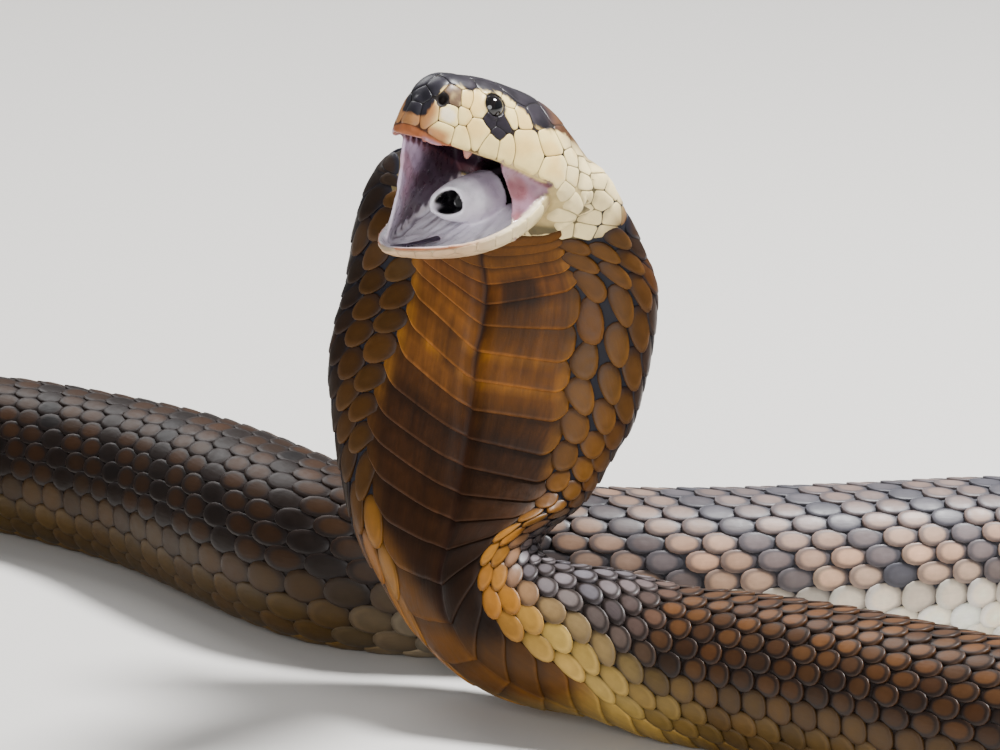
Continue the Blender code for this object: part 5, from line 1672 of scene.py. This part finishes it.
bodyPoints, bodyQuads, bodyTris, bodyTint = bodySkin()
allPoints = np.concatenate([headPoints, bodyPoints])
count = len(headPoints)
inside = lining[headQuads].mean(1) > 0.5
order = np.argsort(inside, kind="stable")[::-1]  # the mouth's faces first
skin = addMesh(
    "skin", allPoints, np.concatenate([headQuads[order], bodyQuads + count]), bodyTris + count,
    np.concatenate([headTint, bodyTint]), np.zeros((len(allPoints), 3)))
faces = np.zeros(len(skin.data.polygons), np.int32)
faces[:inside.sum()] = 1  # the mouth's material
skin.data.materials.append(finish["skin"])
skin.data.materials.append(finish["mouth"])
skin.data.polygons.foreach_set("material_index", faces)
bpy.data.objects.remove(headSkin)
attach(skin, "root")
flesh = [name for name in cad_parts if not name.startswith(("eye_", "tongue"))]
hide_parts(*flesh)


print("eyes and tongue")
eyeShape = {
    "rings": 40, "around": 64, "pupil": 0.52,
    "pupilColour": (0.002, 0.002, 0.003), "iris": (0.006, 0.004, 0.004), "rim": (0.004, 0.003, 0.003),
}


def eyeMaterial():
    material, tree, shader = newMaterial("wet_eye")
    tint = addNode(tree, "ShaderNodeAttribute", attribute_name="tint")
    tree.links.new(tint.outputs["Color"], shader.inputs["Base Color"])
    shader.inputs["Roughness"].default_value = 0.06
    shader.inputs["Coat Weight"].default_value = 0.6
    shader.inputs["Coat Roughness"].default_value = 0.02
    return material


def addEye(name, end, finish):
    centre = eyeCentre(end)
    axis = unit(headLeft * end + 0.15 * headUp)
    side = unit(np.cross([0, 0, 1.0], axis))
    top = np.cross(axis, side)
    polar = np.linspace(0.02, pi - 0.02, eyeShape["rings"])
    around = turns(eyeShape["around"])
    bulge = 1 + 0.03 * np.exp(-((polar / 0.7) ** 2))
    out = np.cos(polar)[:, None, None] * axis
    ring = np.cos(around)[None, :, None] * side + np.sin(around)[None, :, None] * top
    ring = np.sin(polar)[:, None, None] * ring
    rings = centre + (out + ring) * (bulge * skinShape["eyeRadius"] * mm)[:, None, None]
    points, quads, tris = loft(rings)
    share = ease((np.repeat(polar, len(around)) - eyeShape["pupil"]) / 0.06)
    share = np.concatenate([share, [0], [1]])
    rim = ease((np.concatenate([np.repeat(polar, len(around)), [0], [3]]) - 0.82) / 0.2)
    fine = 1 + 0.5 * waves(points / mm, 0.8, 81)
    tint = mix(eyeShape["pupilColour"], np.array(eyeShape["iris"]) * fine[:, None], share)
    tint = mix(tint, eyeShape["rim"], rim)
    eye = addMesh(name + "_ball", points, quads, tris, tint)
    faceOutwards(eye)
    eye.data.materials.append(finish)
    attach(eye, "root")
    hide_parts(name)


wetEye = eyeMaterial()
addEye("eye_left", 1, wetEye)
addEye("eye_right", -1, wetEye)

tongueShape = {
    "stem": [(30.0, 0.0, 1.0), (34.0, 0.1, 1.3), (38.0, 0.2, 1.3), (41.0, 0.2, 1.2)],
    "leftTine": [(41.0, 0.2, 1.2), (42.8, 1.2, 1.0), (44.6, 2.4, 0.7), (46.2, 2.9, 0.9)],
    "rightTine": [(41.0, 0.2, 1.2), (42.6, -0.6, 1.1), (44.2, -1.8, 0.8), (46.0, -2.6, 0.7)],
    "colour": (0.035, 0.022, 0.045),
}


def addTongue():
    bodies = []
    for name, first, last in (("stem", 1.0, 0.8), ("leftTine", 0.62, 0.2), ("rightTine", 0.62, 0.2)):
        rows = np.array(tongueShape[name])
        floor = jawRing(rows[:, 0], np.full(len(rows), pi))[1]
        path = curveThrough(jawPlace(rows[:, 0], rows[:, 1], floor + rows[:, 2]), 0.35 * mm)
        radius = np.linspace(first, last, len(path))
        wide = np.column_stack([radius * 1.25, radius * 0.7])
        bodies.append(tubeBody(path, wide, jawUp, 14))
    points, quads, tris = joined(bodies)
    tint = np.array(tongueShape["colour"]) * (1 + 0.3 * waves(points / mm, 2, 91))[:, None]
    tongue = addMesh("tongue_flesh", points, quads, tris, tint)
    faceOutwards(tongue)
    tongue.data.materials.append(finish["tongue"])
    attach(tongue, "root")
    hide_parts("tongue")


addTongue()

print("floor, lights and camera")
stage = {
    "floorSize": 6.0, "floorColour": (0.62, 0.60, 0.57), "world": 0.26,
    "target": (0, 0, 95.9), "distance": 2.5, "height": 15, "lens": 306,
    # name, place, size and watts of each light
    "lights": [
        ("key", (0.6, 0.22, 1.25), 0.35, 66), ("fill", (-0.3, -1.4, 0.45), 1.0, 13),
        ("rim", (-0.5, 1.0, 0.9), 0.8, 8),
    ],
}


def addStage():
    half = stage["floorSize"] / 2
    corners = np.array([(-half, -half, 0), (half, -half, 0), (half, half, 0), (-half, half, 0)])
    ground = addMesh("floor", corners, [(0, 1, 2, 3)], [])
    material, _, shader = newMaterial("pale_floor")
    shader.inputs["Base Color"].default_value = (*stage["floorColour"], 1)
    shader.inputs["Roughness"].default_value = 0.8
    ground.data.materials.append(material)
    target = (np.array(stage["target"]) - spineShape["originSpot"]) * mm
    for name, place, size, power in stage["lights"]:
        lamp = bpy.data.lights.new(name, "AREA")
        lamp.shape, lamp.size, lamp.energy = "DISK", size, power
        item = bpy.data.objects.new(name, lamp)
        item.location = Vector(target) + Vector(place)
        item.rotation_euler = (-Vector(place)).to_track_quat("-Z", "Y").to_euler()
        bpy.context.scene.collection.objects.link(item)
    world = bpy.context.scene.world or bpy.data.worlds.new("studio")
    bpy.context.scene.world = world
    world.use_nodes = True
    background = world.node_tree.nodes["Background"]
    background.inputs["Color"].default_value = (0.95, 0.97, 1.0, 1)
    background.inputs["Strength"].default_value = stage["world"]
    angle = radians(stage["height"])
    away = Vector((0, -cos(angle), sin(angle))) * stage["distance"]
    lens = bpy.data.cameras.new("view")
    lens.lens, lens.sensor_width, lens.clip_end = stage["lens"], 36, 10
    camera = bpy.data.objects.new("view", lens)
    camera.location = Vector(target) + away
    camera.rotation_euler = (-away).to_track_quat("-Z", "Y").to_euler()
    bpy.context.scene.collection.objects.link(camera)
    bpy.context.scene.camera = camera


addStage()
